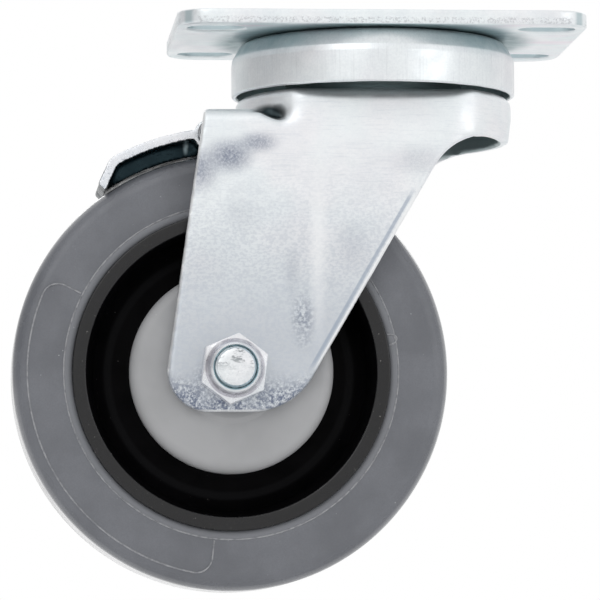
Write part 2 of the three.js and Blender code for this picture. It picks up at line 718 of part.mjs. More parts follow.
// The trough's inside, which leaves one sheet thickness under and beside it.
function shoePocket() {
  const sheet = PEDAL_THICKNESS;
  const turn = THREE.MathUtils.radToDeg(sheet / PEDAL_ARC_RADIUS);
  const [from, to] = [SHOE_FROM + turn, PEDAL_ARC_END - turn];
  return bandAboutAxle(shoeBottom + sheet, PEDAL_ARC_RADIUS + sheet, from, to, to, SHOE_HALF_WIDTH - sheet);
}

// Part of a ring about the axle, between two radii. Its inner and outer arcs may end at different angles.
function bandAboutAxle(inside, outside, from, insideTo, outsideTo, halfWidth) {
  const [ax, az] = [-SWIVEL_OFFSET, -AXLE_DROP];
  const outline = [...arc(ax, az, outside, from, outsideTo, 6), ...arc(ax, az, inside, insideTo, from, 7)];
  return extrudedY(outline, -halfWidth, halfWidth);
}

function brakePin() {
  const end = pinSeatEnd() - GAP;
  return cylinderY(PEDAL_PIN_RADIUS, -end, end, 20).translate([PEDAL_PIVOT[0], 0, PEDAL_PIVOT[1]]);
}

// A torsion spring wound round the pin beside the pedal, with two short tails along X.
function brakeSpring() {
  const [px, pz] = PEDAL_PIVOT;
  const start = -PEDAL_WIDTH / 2 - 1.2;
  const pitch = 2 * SPRING_WIRE_RADIUS + 0.25;
  const stepsPerTurn = 10;
  const points = [new THREE.Vector3(px + 6.5, start, pz + SPRING_COIL_RADIUS - 3.2)];
  const steps = SPRING_TURNS * stepsPerTurn;
  for (let i = 0; i <= steps; i++) {
    const angle = Math.PI / 2 - (2 * Math.PI * i) / stepsPerTurn;
    const y = start - (pitch * i) / stepsPerTurn;
    const r = SPRING_COIL_RADIUS;
    points.push(new THREE.Vector3(px + r * Math.cos(angle), y, pz + r * Math.sin(angle)));
  }
  const curve = new THREE.CatmullRomCurve3(points);
  const wire = new THREE.Shape();
  wire.absarc(0, 0, SPRING_WIRE_RADIUS, 0, 2 * Math.PI);
  return solid(new THREE.ExtrudeGeometry(wire, { steps: steps + 4, extrudePath: curve, curveSegments: 3 }));
}

// ---- Assembly -----------------------------------------------------------------------------------
add("top_plate", topPlate(), zinc);
add("raceway_cup", racewayCup(), drawnZinc);
add("kingpin", kingpin(), zinc);
add("lower_race", lowerRace(), zinc);
addBallCircle("upper_ball", UPPER_BALLS, UPPER_BALL_RADIUS, UPPER_BALL_CIRCLE, upperBallZ);
addBallCircle("lower_ball", LOWER_BALLS, LOWER_BALL_RADIUS, LOWER_BALL_CIRCLE, lowerBallZ);

add("fork", fork(), zinc);
add("brake_pedal", brakePedal(), zinc);
add("brake_pin", brakePin(), zinc);
add("brake_spring", brakeSpring(), springSteel);

add("axle_bolt", axleBolt(), zinc, wheelFrame);
add("axle_nut", axleNut(), zinc, wheelFrame);
add("spanner_bushing", spannerBushing(), zinc, wheelFrame);
add("wheel_core", wheelCore(), blackPlastic, wheelFrame);
add("tyre", tyre(), greyRubber, wheelFrame);
for (const [label, side] of [["near", -1], ["far", 1]]) {
  const land = BEARING_BALL_RADIUS - BEARING_GROOVE_DEPTH / 2;
  const innerRing = bearingRing(BEARING_BORE, BEARING_BALL_CIRCLE - land, true, side);
  const outerRing = bearingRing(BEARING_BALL_CIRCLE + land, BEARING_OUTSIDE, false, side);
  add(`${label}_thread_guard`, threadGuard(side), greyPlastic, wheelFrame);
  add(`${label}_bearing_inner_ring`, innerRing, zinc, wheelFrame);
  add(`${label}_bearing_outer_ring`, outerRing, zinc, wheelFrame);
  add(`${label}_bearing_ball_cage`, ballCage(side), ballSteel, wheelFrame);
}

export default part;
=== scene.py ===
import math

import bmesh
import bpy
import numpy as np
from mathutils import Matrix, Vector, noise
from mathutils.bvhtree import BVHTree


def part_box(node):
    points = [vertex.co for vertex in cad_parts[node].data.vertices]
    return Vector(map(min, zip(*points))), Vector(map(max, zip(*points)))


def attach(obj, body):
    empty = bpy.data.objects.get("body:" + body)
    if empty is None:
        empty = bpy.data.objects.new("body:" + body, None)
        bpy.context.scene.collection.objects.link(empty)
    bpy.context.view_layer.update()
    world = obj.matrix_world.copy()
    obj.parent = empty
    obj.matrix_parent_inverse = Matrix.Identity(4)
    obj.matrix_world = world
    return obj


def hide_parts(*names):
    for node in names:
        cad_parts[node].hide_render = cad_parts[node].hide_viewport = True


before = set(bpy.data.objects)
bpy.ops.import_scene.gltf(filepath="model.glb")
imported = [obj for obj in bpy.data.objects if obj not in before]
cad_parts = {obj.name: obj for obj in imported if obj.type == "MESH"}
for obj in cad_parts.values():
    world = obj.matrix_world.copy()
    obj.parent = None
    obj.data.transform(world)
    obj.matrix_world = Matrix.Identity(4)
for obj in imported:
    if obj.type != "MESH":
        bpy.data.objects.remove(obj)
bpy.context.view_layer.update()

# Lengths in this script are in millimetres and become metres where a mesh, light or camera is made.
MM = 0.001
FULL_TURN = 2 * math.pi


def node_box(node):
    low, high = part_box(node)
    return low / MM, high / MM


def node_middle(node):
    return [(low + high) / 2 for low, high in zip(*node_box(node))]


# ---- Places and sizes that the frame gives -------------------------------------------------------
plate_low, plate_high = node_box("top_plate")
cup_low, cup_high = node_box("raceway_cup")
kingpin_low, kingpin_high = node_box("kingpin")
race_low, race_high = node_box("lower_race")
_, fork_high = node_box("fork")
tyre_low, tyre_high = node_box("tyre")
bolt_low, bolt_high = node_box("axle_bolt")
nut_low, nut_high = node_box("axle_nut")
pin_low, pin_high = node_box("brake_pin")

AXLE_X, _, AXLE_Z = node_middle("tyre")
AXLE = (AXLE_X, 0, AXLE_Z)
PIVOT_X, _, PIVOT_Z = node_middle("brake_pin")
PIVOT = (PIVOT_X, 0, PIVOT_Z)
TYRE_RADIUS = (tyre_high.x - tyre_low.x) / 2
PLATE_BOTTOM = plate_low.z
CUP_RADIUS = (cup_high.y - cup_low.y) / 2
FORK_SKIRT_RADIUS = fork_high.x

# ---- Driving dimensions that the frame's boxes don't hold ----------------------------------------
PLATE_CORNER = 8
SLOT_SPACING = (77, 47.6)
SLOT_SIZE = (13.3, 9)
RIVET_HOLE = 6.7
RIVET_FLARE = 8.9
KINGPIN_SHANK = 6.35
KINGPIN_BORE = 6.65  # the hole for it in the cup and in the lower race
CUP_SHEET = 1.3
CUP_SHOULDER = 31  # radius where the flat top ends
CUP_BAND_TOP = -8.6
CUP_SLANT = 0.6  # how far the shoulder's wall moves outwards for each millimetre down

SHEET = 2.7
SKIRT_BOTTOM = -27.8
SKIRT_TAPER = 0.7
SHOULDER_TOP = -17.1
CROWN_RADIUS = 20.2
FORK_HOLE_RADIUS = 8.5
HALF_WIDTH_TOP = 25
HALF_WIDTH_AXLE = 22.3
TAPER_TOP = -30
TAPER_BOTTOM = -62
LEG_BEND = 3
LEG_FRONT = 13.87  # from the axle to where the front edge's line meets the foot's
LEG_FRONT_SLOPE = 0.578
LEG_FOOT = 9.7
LEG_REAR = 6.65  # from the axle back to where the rear edge's line starts, at the flange
LEG_REAR_SLOPE = 0.142
FLANGE_TOP = -22
FLANGE_EDGE = -35.2
NOTCH_HALF_WIDTH = 20.8
UPPER_BALL = (3.175, 17, 16)  # radius, circle radius, count
LOWER_BALL = (2.38, 11.5, 12)
BALL_PLAY = 0.3  # how much larger than the ball a groove's radius is

AXLE_RADIUS = 4.7625
BUSHING_BORE, BUSHING_RADIUS = 5.06, 6.35
BEARING_BORE, BEARING_RADIUS, BEARING_WIDTH, BEARING_FACE = 6.65, 14.5, 6.6, 17
HEX_APOTHEM = 7.15
NUT_TURN = math.radians(7)
NUT_COLLAR = 5.75
PEDAL_ARC = 56.2  # radius of the sheet's middle, about the axle
PEDAL_SHEET = 2.2
PEDAL_HALF_WIDTH = 14
PEDAL_FROM, PEDAL_TO = 97, 118  # degrees about the axle
LIP_BEND, LIP_TURN, LIP_LENGTH = 4, 38, 6  # the bend's outer radius, its degrees, the lip's inner length
SHOE_FROM, SHOE_TO, SHOE_HALF_WIDTH, SHOE_DEPTH = 98, 124.4, 8.5, 3.4
PIN_RADIUS, PIN_BORE, KNUCKLE_RADIUS = 1.6, 1.9, 3.7
TYRE_SHOULDER = 4.2  # the radius that rounds the tread into the side
TYRE_BAND = 38.9  # radius of the fine moulded ring that bounds the tyre's inner band
BEYOND = 100  # reaches past every face, for the ends of cutting shapes
WHOLE = (-BEYOND, BEYOND)

# ---- Outlines and profiles -----------------------------------------------------------------------


def rounded(points, radii, steps=6):
    """A closed outline with rounded corners. radii is one radius, or one for each point."""
    points = [Vector(p) for p in points]
    radii = radii if hasattr(radii, "__len__") else [radii] * len(points)
    outline = []
    for i, (corner, radius) in enumerate(zip(points, radii)):
        to_last, to_next = points[i - 1] - corner, points[(i + 1) % len(points)] - corner
        reach = 0.49 * min(to_last.length, to_next.length)
        to_last.normalize()
        to_next.normalize()
        half = to_last.angle(to_next, math.pi) / 2
        if radius <= 0 or half > math.radians(89):
            outline.append(tuple(corner))
            continue
        tangent = min(radius / math.tan(half), reach)
        radius = tangent * math.tan(half)
        centre = corner + (to_last + to_next).normalized() * (radius / math.sin(half))
        first, last = corner + to_last * tangent - centre, corner + to_next * tangent - centre
        turn = first.angle_signed(last)
        for k in range(steps + 1):
            outline.append(tuple(centre + Matrix.Rotation(-turn * k / steps, 2) @ first))
    return outline


def arc(centre, radius, start, end, steps):
    """Points of an arc, its angles in degrees."""
    angles = np.radians(np.linspace(start, end, steps + 1))
    return [(centre[0] + radius * math.cos(a), centre[1] + radius * math.sin(a)) for a in angles]


def around(circle, count):
    """Evenly spaced points of a circle about the origin."""
    angles = [FULL_TURN * i / count for i in range(count)]
    return [(circle * math.cos(a), circle * math.sin(a)) for a in angles]


def from_axle(x, z):
    return math.hypot(x - AXLE_X, z - AXLE_Z)


def mirrored(half):
    """A whole section from its half at positive height: out along it and back along its mirror image."""
    return half + [(r, -h) for r, h in reversed(half)]


def smoothstep(edge0, edge1, x):
    t = np.clip((x - edge0) / (edge1 - edge0), 0, 1)
    return t * t * (3 - 2 * t)


# ---- Mesh making ---------------------------------------------------------------------------------


def place(name, data):
    """An object in the scene that holds a mesh, a light or a camera."""
    obj = bpy.data.objects.new(name, data)
    bpy.context.scene.collection.objects.link(obj)
    return obj


def place_shape(name, shape):
    mesh = bpy.data.meshes.new(name)
    shape.to_mesh(mesh)
    shape.free()
    return place(name, mesh)


def make(name, vertices, faces):
    mesh = bpy.data.meshes.new(name)
    mesh.from_pydata((np.array(vertices, float) * MM).tolist(), [], faces)
    shape = bmesh.new()
    shape.from_mesh(mesh)
    bmesh.ops.remove_doubles(shape, verts=shape.verts, dist=0.0005 * MM)
    bmesh.ops.recalc_face_normals(shape, faces=shape.faces)
    shape.to_mesh(mesh)
    shape.free()
    return place(name, mesh)


def lathe(name, profile, axis="Z", centre=(0, 0, 0), segments=160, shape=None):
    """A closed profile of (radius, height) pairs turned about Z or Y. shape may bend it by angle."""
    vertices = []
    for i in range(segments):
        angle = FULL_TURN * i / segments
        for radius, height in profile:
            if shape:
                radius, height = shape(angle, radius, height)
            across, along = radius * math.cos(angle), radius * math.sin(angle)
            point = (across, along, height) if axis == "Z" else (across, height, along)
            vertices.append([a + b for a, b in zip(point, centre)])
    n = len(profile)
    faces = [
        (i * n + j, ((i + 1) % segments) * n + j,
         ((i + 1) % segments) * n + (j + 1) % n, i * n + (j + 1) % n)
        for i in range(segments)
        for j in range(n)
    ]
    return make(name, vertices, faces)


def prism(outline, axis, start, end):
    """An outline extruded along X, Y or Z. Its pairs are the other two coordinates, in that order."""
    n = len(outline)
    vertices = []
    for along in (start, end):
        for point in outline:
            vertices.append(list(point))
            vertices[-1].insert("XYZ".index(axis), along)
    sides = [(i, (i + 1) % n, n + (i + 1) % n, n + i) for i in range(n)]
    return make("prism", vertices, [tuple(range(n)), tuple(range(n, 2 * n)), *sides])


def block(x, y, z):
    return prism([(x[0], y[0]), (x[1], y[0]), (x[1], y[1]), (x[0], y[1])], "Z", *z)


def rod(radius, axis, start, end, centre=(0, 0, 0), segments=64):
    return lathe("rod", [(0, start), (radius, start), (radius, end), (0, end)], axis, centre, segments)


def tube(name, points, radius, sides=14):
    """A round wire along points, closed at both ends."""
    points = [Vector(p) for p in points]
    normal = (points[1] - points[0]).orthogonal().normalized()
    vertices = []
    for i, point in enumerate(points):
        tangent = (points[min(i + 1, len(points) - 1)] - points[max(i - 1, 0)]).normalized()
        normal = (normal - tangent * normal.dot(tangent)).normalized()
        across = tangent.cross(normal)
        for k in range(sides):
            a = FULL_TURN * k / sides
            vertices.append(point + radius * (math.cos(a) * normal + math.sin(a) * across))
    rings = len(points)
    faces = [
        (i * sides + k, i * sides + (k + 1) % sides,
         (i + 1) * sides + (k + 1) % sides, (i + 1) * sides + k)
        for i in range(rings - 1)
        for k in range(sides)
    ]
    faces += [tuple(range(sides)), tuple((rings - 1) * sides + k for k in range(sides))]
    return make(name, vertices, faces)


def bake(obj):
    """Applies the object's modifiers to its mesh."""
    graph = bpy.context.evaluated_depsgraph_get()
    mesh = bpy.data.meshes.new_from_object(obj.evaluated_get(graph))
    obj.modifiers.clear()
    obj.data = mesh
    return obj


def combine(base, operation, *others):
    for other in others:
        modifier = base.modifiers.new("combine", "BOOLEAN")
        modifier.operation = operation
        modifier.solver = "MANIFOLD"
        modifier.object = other
        bake(base)
        bpy.data.objects.remove(other)
    return base


def joined(name, *objects):
    """The objects' meshes in one object, each still its own shell with its own materials."""
    together = bmesh.new()
    materials = []
    for obj in objects:
        start = len(together.faces)
        together.from_mesh(obj.data)
        together.faces.ensure_lookup_table()
        own = list(obj.data.materials)
        for face in together.faces[start:]:
            wanted = own[face.material_index] if own else None
            if wanted not in materials:
                materials.append(wanted)
            face.material_index = materials.index(wanted)
        bpy.data.objects.remove(obj)
    whole = place_shape(name, together)
    for material in materials:
        whole.data.materials.append(material)
    return whole


def two_toned(obj, base, other, where):
    """Gives the faces whose centre passes where(x, y, z) the second material, and the rest the first."""
    for material in (base, other):
        obj.data.materials.append(material)
    for face in obj.data.polygons:
        face.material_index = int(where(*(c / MM for c in face.center)))


def coordinates(mesh):
    points = np.zeros(len(mesh.vertices) * 3)
    mesh.vertices.foreach_get("co", points)
    return points.reshape(-1, 3) / MM


def relaxed(points, edges, passes, weight=1.0):
    """Moves each point towards the mean of its neighbours, passes times."""
    count = len(points)
    a, b = edges.T
    neighbours = np.bincount(a, minlength=count) + np.bincount(b, minlength=count)
    for _ in range(passes):
        sums = [np.bincount(a, points[b, k], count) + np.bincount(b, points[a, k], count) for k in range(3)]
        total = np.stack(sums, axis=1)
        step = total / np.maximum(neighbours, 1)[:, None] - points
        points = points + 0.6 * step * np.reshape(weight, (-1, 1))
    return points


def move(mesh, points):
    mesh.vertices.foreach_set("co", (points * MM).ravel())
    mesh.update()


def forge(obj, voxel, passes, softer=None, dents=None):
    """Gives a sharp solid the rounded edges of pressed metal, and leaves its flat faces true.

    softer(points) gives a weight from 0 to 1 for further rounding, and dents(point) an offset."""
    exact = bmesh.new()
    exact.from_mesh(obj.data)
    surface = BVHTree.FromBMesh(exact)
    exact.free()
    modifier = obj.modifiers.new("voxels", "REMESH")
    modifier.mode = "VOXEL"
    modifier.voxel_size = voxel * MM
    bake(obj)
    mesh = obj.data
    edges = np.zeros(len(mesh.edges) * 2, np.int64)
    mesh.edges.foreach_get("vertices", edges)
    edges = edges.reshape(-1, 2)
    points = relaxed(coordinates(mesh), edges, passes)
    on_face = 0.09  # a point this near a face of the sharp solid goes back onto it
    for i, point in enumerate(points):
        nearest, _, _, distance = surface.find_nearest(Vector(point) * MM)
        if nearest is not None:
            keep = float(smoothstep(on_face, 2 * on_face, distance / MM))
            points[i] = keep * point + (1 - keep) * np.array(nearest) / MM
    if softer:
        points = relaxed(points, edges, 40, softer(points))
    points = relaxed(points, edges, 1)
    if dents:
        move(mesh, points)
        for i, vertex in enumerate(mesh.vertices):
            points[i] += dents(points[i]) * np.array(vertex.normal)
    move(mesh, points)


def grain(point, size, seed=0.0):
    """Smooth noise from about -1 to 1, with features of that size."""
    return noise.noise(Vector(point) / size + Vector((seed, seed, seed)))


def finish(obj, name, material, body, nodes, sharp=35):
    """Names a piece, shades it and ties it to the frame."""
    obj.name = name
    obj.data.name = name
    if not any(obj.data.materials):
        obj.data.materials.clear()
        obj.data.materials.append(material)
    obj.data.shade_smooth()
    obj.data.set_sharp_from_angle(angle=math.radians(sharp))
    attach(obj, body)
    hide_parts(*nodes)
    return obj


# ---- Materials -----------------------------------------------------------------------------------
# Painted shade for the gap between the bolt and the nut.
GAP_SHADE_TEAL = (0.34, 0.56, 0.62)


def add_node(tree, kind, inputs, **settings):
    """A shader node with those settings, each of its inputs linked or given a value."""
    made = tree.nodes.new(kind)
    for key, value in settings.items():
        setattr(made, key, value)
    for key, value in inputs.items():
        if isinstance(value, bpy.types.NodeSocket):
            tree.links.new(value, made.inputs[key])
        else:
            made.inputs[key].default_value = value
    return made


class Paint:
    """A procedural material, with short names for the nodes that these ones share."""

    def __init__(self, name, **constants):
        self.material = bpy.data.materials.new(name)
        self.material.use_nodes = True
        self.tree = self.material.node_tree
        self.shader = self.tree.nodes["Principled BSDF"]
        for socket, value in constants.items():
            self.shader.inputs[socket.replace("_", " ")].default_value = value
        self.place = self.tree.nodes.new("ShaderNodeTexCoord").outputs["Object"]
        self.relief = {}

    def node(self, kind, inputs, **settings):
        return add_node(self.tree, kind, inputs, **settings)

    def spot(self, scale, shift):
        """The place on the object, scaled and then shifted."""
        inputs = {"Vector": self.place, "Scale": scale, "Location": shift}
        return self.node("ShaderNodeMapping", inputs).outputs[0]

    def noise(self, size, stretch=(1, 1, 1), detail=3, rough=0.55, shift=(0, 0, 0)):
        """Noise from 0 to 1 with features of about that size in millimetres, longer where stretched."""
        spot = self.spot([1 / (size * MM * s) for s in stretch], shift)
        inputs = {"Vector": spot, "Scale": 1, "Detail": detail, "Roughness": rough}
        return self.node("ShaderNodeTexNoise", inputs).outputs[0]

    def math(self, operation, a, b=0.0):
        return self.node("ShaderNodeMath", {0: a, 1: b}, operation=operation).outputs[0]

    def scaled(self, value, low, high, to_low=0.0, to_high=1.0):
        inputs = {"Value": value, 1: low, 2: high, 3: to_low, 4: to_high}
        return self.node("ShaderNodeMapRange", inputs, interpolation_type="SMOOTHSTEP").outputs[0]

    def mix(self, factor, a, b, blend="MIX"):
        a, b = (v if isinstance(v, bpy.types.NodeSocket) else (*v, 1) for v in (a, b))
        inputs = {0: factor, 6: a, 7: b}
        return self.node("ShaderNodeMix", inputs, data_type="RGBA", blend_type=blend).outputs[2]

    def part(self, axis):
        """The X, Y or Z coordinate, in metres."""
        return self.node("ShaderNodeSeparateXYZ", {0: self.place}).outputs[axis]

    def reach(self, axis):
        """The distance in metres from the middle plane, along that axis."""
        return self.math("ABSOLUTE", self.part(axis))

    def length(self, scale, centre):
        """The length of the way from centre, each axis scaled by its own factor."""
        spot = self.spot(scale, [-c * MM * s for c, s in zip(centre, scale)])
        return self.node("ShaderNodeVectorMath", {0: spot}, operation="LENGTH").outputs["Value"]

    def patch(self, centre, size, softness=0.9):
        """1 in the middle of an ellipsoid, fading to 0 at its edge."""
        return self.scaled(self.length([1 / (s * MM) for s in size], centre), 1, 1 - softness)

    def radius(self, axis, centre=(0, 0, 0)):
        """The distance in metres from a line along that axis through centre."""
        return self.length([0 if own == axis else 1 for own in "XYZ"], centre)

    def step(self, value, full, none):
        """1 at the value full, fading to 0 at the value none, both in millimetres."""
        low, high = sorted((full, none))
        ends = (1, 0) if full < none else (0, 1)
        return self.scaled(value, low * MM, high * MM, *ends)

    def between(self, value, low, high, fade):
        """1 from low to high, fading to 0 at that distance beyond both, all in millimetres."""
        return self.product(self.step(value, low, low - fade), self.step(value, high, high + fade))

    def slanted(self, slope):
        """X less slope times Z, in metres, which is constant along an edge of that slope."""
        return self.math("SUBTRACT", self.part("X"), self.math("MULTIPLY", self.part("Z"), slope))

    def product(self, *masks):
        whole = masks[0]
        for mask in masks[1:]:
            whole = self.math("MULTIPLY", whole, mask)
        return whole

    def color(self, value):
        self.base = value
        self.tree.links.new(value, self.shader.inputs["Base Color"])

    def stain(self, stained, *masks):
        """Turns the color into stained as far as the product of the masks says, 1 being all the way."""
        self.color(self.mix(self.product(*masks), self.base, stained))

    def roughness(self, value):
        self.tree.links.new(value, self.shader.inputs["Roughness"])

    def bump(self, value, depth):
        """Adds relief, its depth in millimetres."""
        inputs = {"Height": value, "Distance": depth * MM, "Strength": 1.0, **self.relief}
        self.relief = {"Normal": self.node("ShaderNodeBump", inputs).outputs[0]}
        self.tree.links.new(self.relief["Normal"], self.shader.inputs["Normal"])


def zinc(name, light, dark, rough=(0.3, 0.5), relief=0.008):
    """Bright zinc plating: cloudy tone, fine crystals and a slightly uneven gloss."""
    paint = Paint(name, Metallic=0.7)
    cloud = paint.noise(11, detail=4)
    crystal = paint.noise(0.55, detail=2, rough=0.7)
    clouds, crystals = paint.scaled(cloud, 0.35, 0.7, 0, 0.6), paint.scaled(crystal, 0.3, 0.75, 0, 0.4)
    base = paint.mix(paint.math("ADD", clouds, crystals), light, dark)
    drift = paint.scaled(paint.noise(24, detail=2), 0.4, 0.62)
    tint = paint.mix(drift, (0.88, 0.96, 0.98), (0.97, 0.94, 0.97))
    paint.color(paint.mix(0.35, base, tint, "MULTIPLY"))
    paint.roughness(paint.scaled(paint.noise(3.5, detail=4), 0.3, 0.7, *rough))
    paint.bump(crystal, relief)
    paint.bump(cloud, 0.035)
    return paint


def plate_zinc():
    paint = zinc("bright_zinc_plate", (0.94, 0.955, 0.96), (0.82, 0.85, 0.87))
    height, along, across = paint.part("Z"), paint.reach("X"), paint.reach("Y")
    length, width = plate_high.x, plate_high.y
    # The lower part of a sheared edge is torn, so it is dull and pitted.
    outside = paint.math("MAXIMUM", paint.step(along, length - 0.6, length - 1.2),
                         paint.step(across, width - 0.6, width - 1.2))
    torn = paint.product(
        paint.step(height, PLATE_BOTTOM + 0.5, PLATE_BOTTOM + 0.1),
        paint.step(height, PLATE_BOTTOM + 1.4, PLATE_BOTTOM + 2.1),
        paint.scaled(paint.noise(0.5, detail=4, rough=0.7), 0.48, 0.62),
        outside,
    )
    paint.stain((0.36, 0.37, 0.40), torn, 0.4)
    # Passivation leaves a teal and pink bloom underneath, and painted shade darkens it where the cup shuts
    # out the light.
    under = paint.step(height, PLATE_BOTTOM + 0.05, PLATE_BOTTOM + 0.25)
    teal = paint.scaled(paint.noise(9, stretch=(3, 1, 1), detail=2), 0.45, 0.7)
    paint.stain((0.74, 0.88, 0.89), under, teal, 0.45)
    pink = paint.scaled(paint.noise(6, stretch=(4, 1, 1), detail=1, shift=(3, 1, 2)), 0.58, 0.75)
    paint.stain((0.88, 0.70, 0.80), under, pink, 0.35)
    # Painted shade under the plate, darkest next to the cup.
    cup_shade = paint.step(paint.radius("Z"), CUP_RADIUS - 0.5, CUP_RADIUS + 6.5)
    paint.stain((0.10, 0.22, 0.24), under, cup_shade, 0.75)
    # The walls of the slots and the rivet's hole are painted darker and bluer, as shade inside the holes.
    shaded_walls = (
        paint.step(height, PLATE_BOTTOM + 0.5, PLATE_BOTTOM + 0.2),
        paint.step(height, plate_high.z - 0.4, plate_high.z - 0.2),
        paint.step(along, length - 2, length - 1.2),
        paint.step(across, width - 2, width - 1.2),
    )
    paint.stain((0.40, 0.52, 0.55), *shaded_walls, 0.65)
    paint.bump(torn, 0.05)
    return paint.material


def cup_zinc():
    light, dark = (0.93, 0.94, 0.945), (0.78, 0.80, 0.82)
    paint = zinc("drawn_zinc_cup", light, dark, rough=(0.3, 0.44), relief=0.002)
    height, reach = paint.part("Z"), paint.radius("Z")
    lines = paint.noise(0.45, stretch=(1, 1, 30), detail=3, rough=0.7)
    rings = paint.noise(1.4, stretch=(60, 60, 1), detail=2)
    paint.stain((0.55, 0.57, 0.60), paint.scaled(lines, 0.48, 0.8, 0, 0.3))
    # The shoulder gets painted shade towards both ends, where it turns away from the light.
    shoulder = paint.product(paint.step(height, CUP_BAND_TOP + 1.6, CUP_BAND_TOP),
                             paint.step(height, cup_high.z - 0.6, cup_high.z - 0.1))
    ends = paint.step(paint.reach("X"), 25, 12)
    # Painted shade on the shoulder's ends.
    paint.stain((0.42, 0.56, 0.60), ends, shoulder, paint.noise(3, detail=4))
    # Painted shade darkens the inside, which lies beyond the middle of the sheet.
    middle, ceiling = CUP_RADIUS - CUP_SHEET / 2, cup_high.z - CUP_SHEET
    slant = paint.math("ADD", reach, paint.math("MULTIPLY", height, CUP_SLANT))
    slant_middle = middle + CUP_SLANT * CUP_BAND_TOP + 0.1
    inside = (
        paint.step(reach, middle - 0.4, middle - 0.2),
        paint.step(slant, slant_middle - 0.3, slant_middle),
        paint.step(height, ceiling + 0.1, ceiling + 0.3),
    )
    paint.stain((0.35, 0.43, 0.44), *inside)
    paint.bump(lines, 0.008)
    paint.bump(rings, 0.015)
    return paint.material


def leg_outside(paint):
    """1 on the outer faces of the fork's legs."""
    return paint.step(paint.reach("Y"), HALF_WIDTH_AXLE - 0.6, HALF_WIDTH_AXLE - 1.2)


def near_patch(paint, x, z, half_length, half_height, softness=0.9):
    """A patch on the outer face of the near leg."""
    return paint.patch((x, -HALF_WIDTH_TOP, z), (half_length, 6, half_height), softness)


def wear_legs(paint):
    """The legs are darker and bluer towards the foot, and finely scratched along the fork."""
    height = paint.part("Z")
    paint.stain((0.54, 0.575, 0.615), paint.step(height, AXLE_Z + 4, AXLE_Z + 44), 0.85)
    scratches = paint.scaled(paint.noise(0.4, stretch=(14, 14, 1), detail=4, rough=0.75), 0.5, 0.68)
    paint.stain((0.55, 0.60, 0.67), scratches, 0.22)
    peel = paint.noise(0.6, stretch=(1.4, 1.4, 1), detail=4, rough=0.65)
    lower = paint.step(height, AXLE_Z + 20, SKIRT_BOTTOM + 4)
    paint.stain((0.53, 0.57, 0.63), paint.scaled(peel, 0.42, 0.6), lower, 0.5)
    paint.bump(scratches, 0.006)
    paint.bump(peel, 0.02)


def rub_leg_and_paint_highlight(paint):
    """Dull rubbed patches, and one painted highlight streak standing in for a crease, on the near leg."""
    grit = paint.scaled(paint.noise(0.5, detail=5, rough=0.75), 0.36, 0.6, 0.55, 1)
    smears = (  # x, z, half length, half height and strength
        (-35.5, -33.2, 7.5, 5.5, 0.95),
        (-29, -30, 6.5, 3.5, 0.8),
        (-43, -36.5, 7, 7, 0.85),
        (-7, -53.7, 6, 9, 0.3),
        (-21, -60.5, 3, 10, 0.4),
        (-33, -47, 7, 6, 0.2),
        (8, -34, 8, 5, 0.3),
    )
    for *spot, strength in smears:
        paint.stain((0.24, 0.27, 0.35), near_patch(paint, *spot), strength, grit)
    # A painted highlight, where a crease in the leg would catch the light.
    paint.stain((0.97, 0.98, 0.985), near_patch(paint, -15, -55, 3.4, 30, 1.0), 0.8)


def spangle_foot(paint):
    """Coarse spangle on the foot, where the nut has been driven home."""
    foot = paint.step(paint.part("Z"), AXLE_Z - 7, AXLE_Z + 1)
    for spot in ((-18.5, -71, 4.5, 10), (-41, AXLE_Z - 3, 6, 7)):
        foot = paint.math("MAXIMUM", foot, near_patch(paint, *spot))
    cover = paint.scaled(paint.noise(5, detail=3), 0.3, 0.6, 0.45, 1)
    foot = paint.product(foot, leg_outside(paint), cover)
    spangle = paint.noise(0.75, detail=6, rough=0.8)
    paint.stain((0.14, 0.17, 0.25), foot, paint.scaled(spangle, 0.45, 0.55), 0.95)
    paint.stain((0.93, 0.95, 0.97), foot, paint.scaled(spangle, 0.45, 0.36), 0.8)


def paint_edge_highlights(paint):
    """The legs' edges get painted highlights, and the raked one has a painted blue shadow line beside it."""
    height, outside = paint.part("Z"), leg_outside(paint)
    bright = (0.97, 0.98, 0.98)
    foot = AXLE_Z - LEG_FOOT
    across, front = paint.slanted(LEG_FRONT_SLOPE), AXLE_X + LEG_FRONT - foot * LEG_FRONT_SLOPE
    straight = paint.product(paint.between(height, AXLE_Z + 3, SKIRT_BOTTOM - 16, 4), outside)
    shadow = paint.between(across, front - 2.0, front - 1.5, 0.4)
    paint.stain((0.30, 0.36, 0.46), shadow, straight, 0.6)
    # Painted highlight along the raked front edge.
    paint.stain(bright, paint.step(across, front - 0.7, front - 1.1), straight, 0.8)
    across, rear = paint.slanted(LEG_REAR_SLOPE), AXLE_X - LEG_REAR - FLANGE_TOP * LEG_REAR_SLOPE
    # Painted highlights along the rear edge and the foot.
    rims = paint.math("MAXIMUM", paint.step(across, rear + 0.3, rear + 0.6),
                      paint.step(height, foot + 0.3, foot + 0.7))
    paint.stain(bright, rims, outside, 0.75)


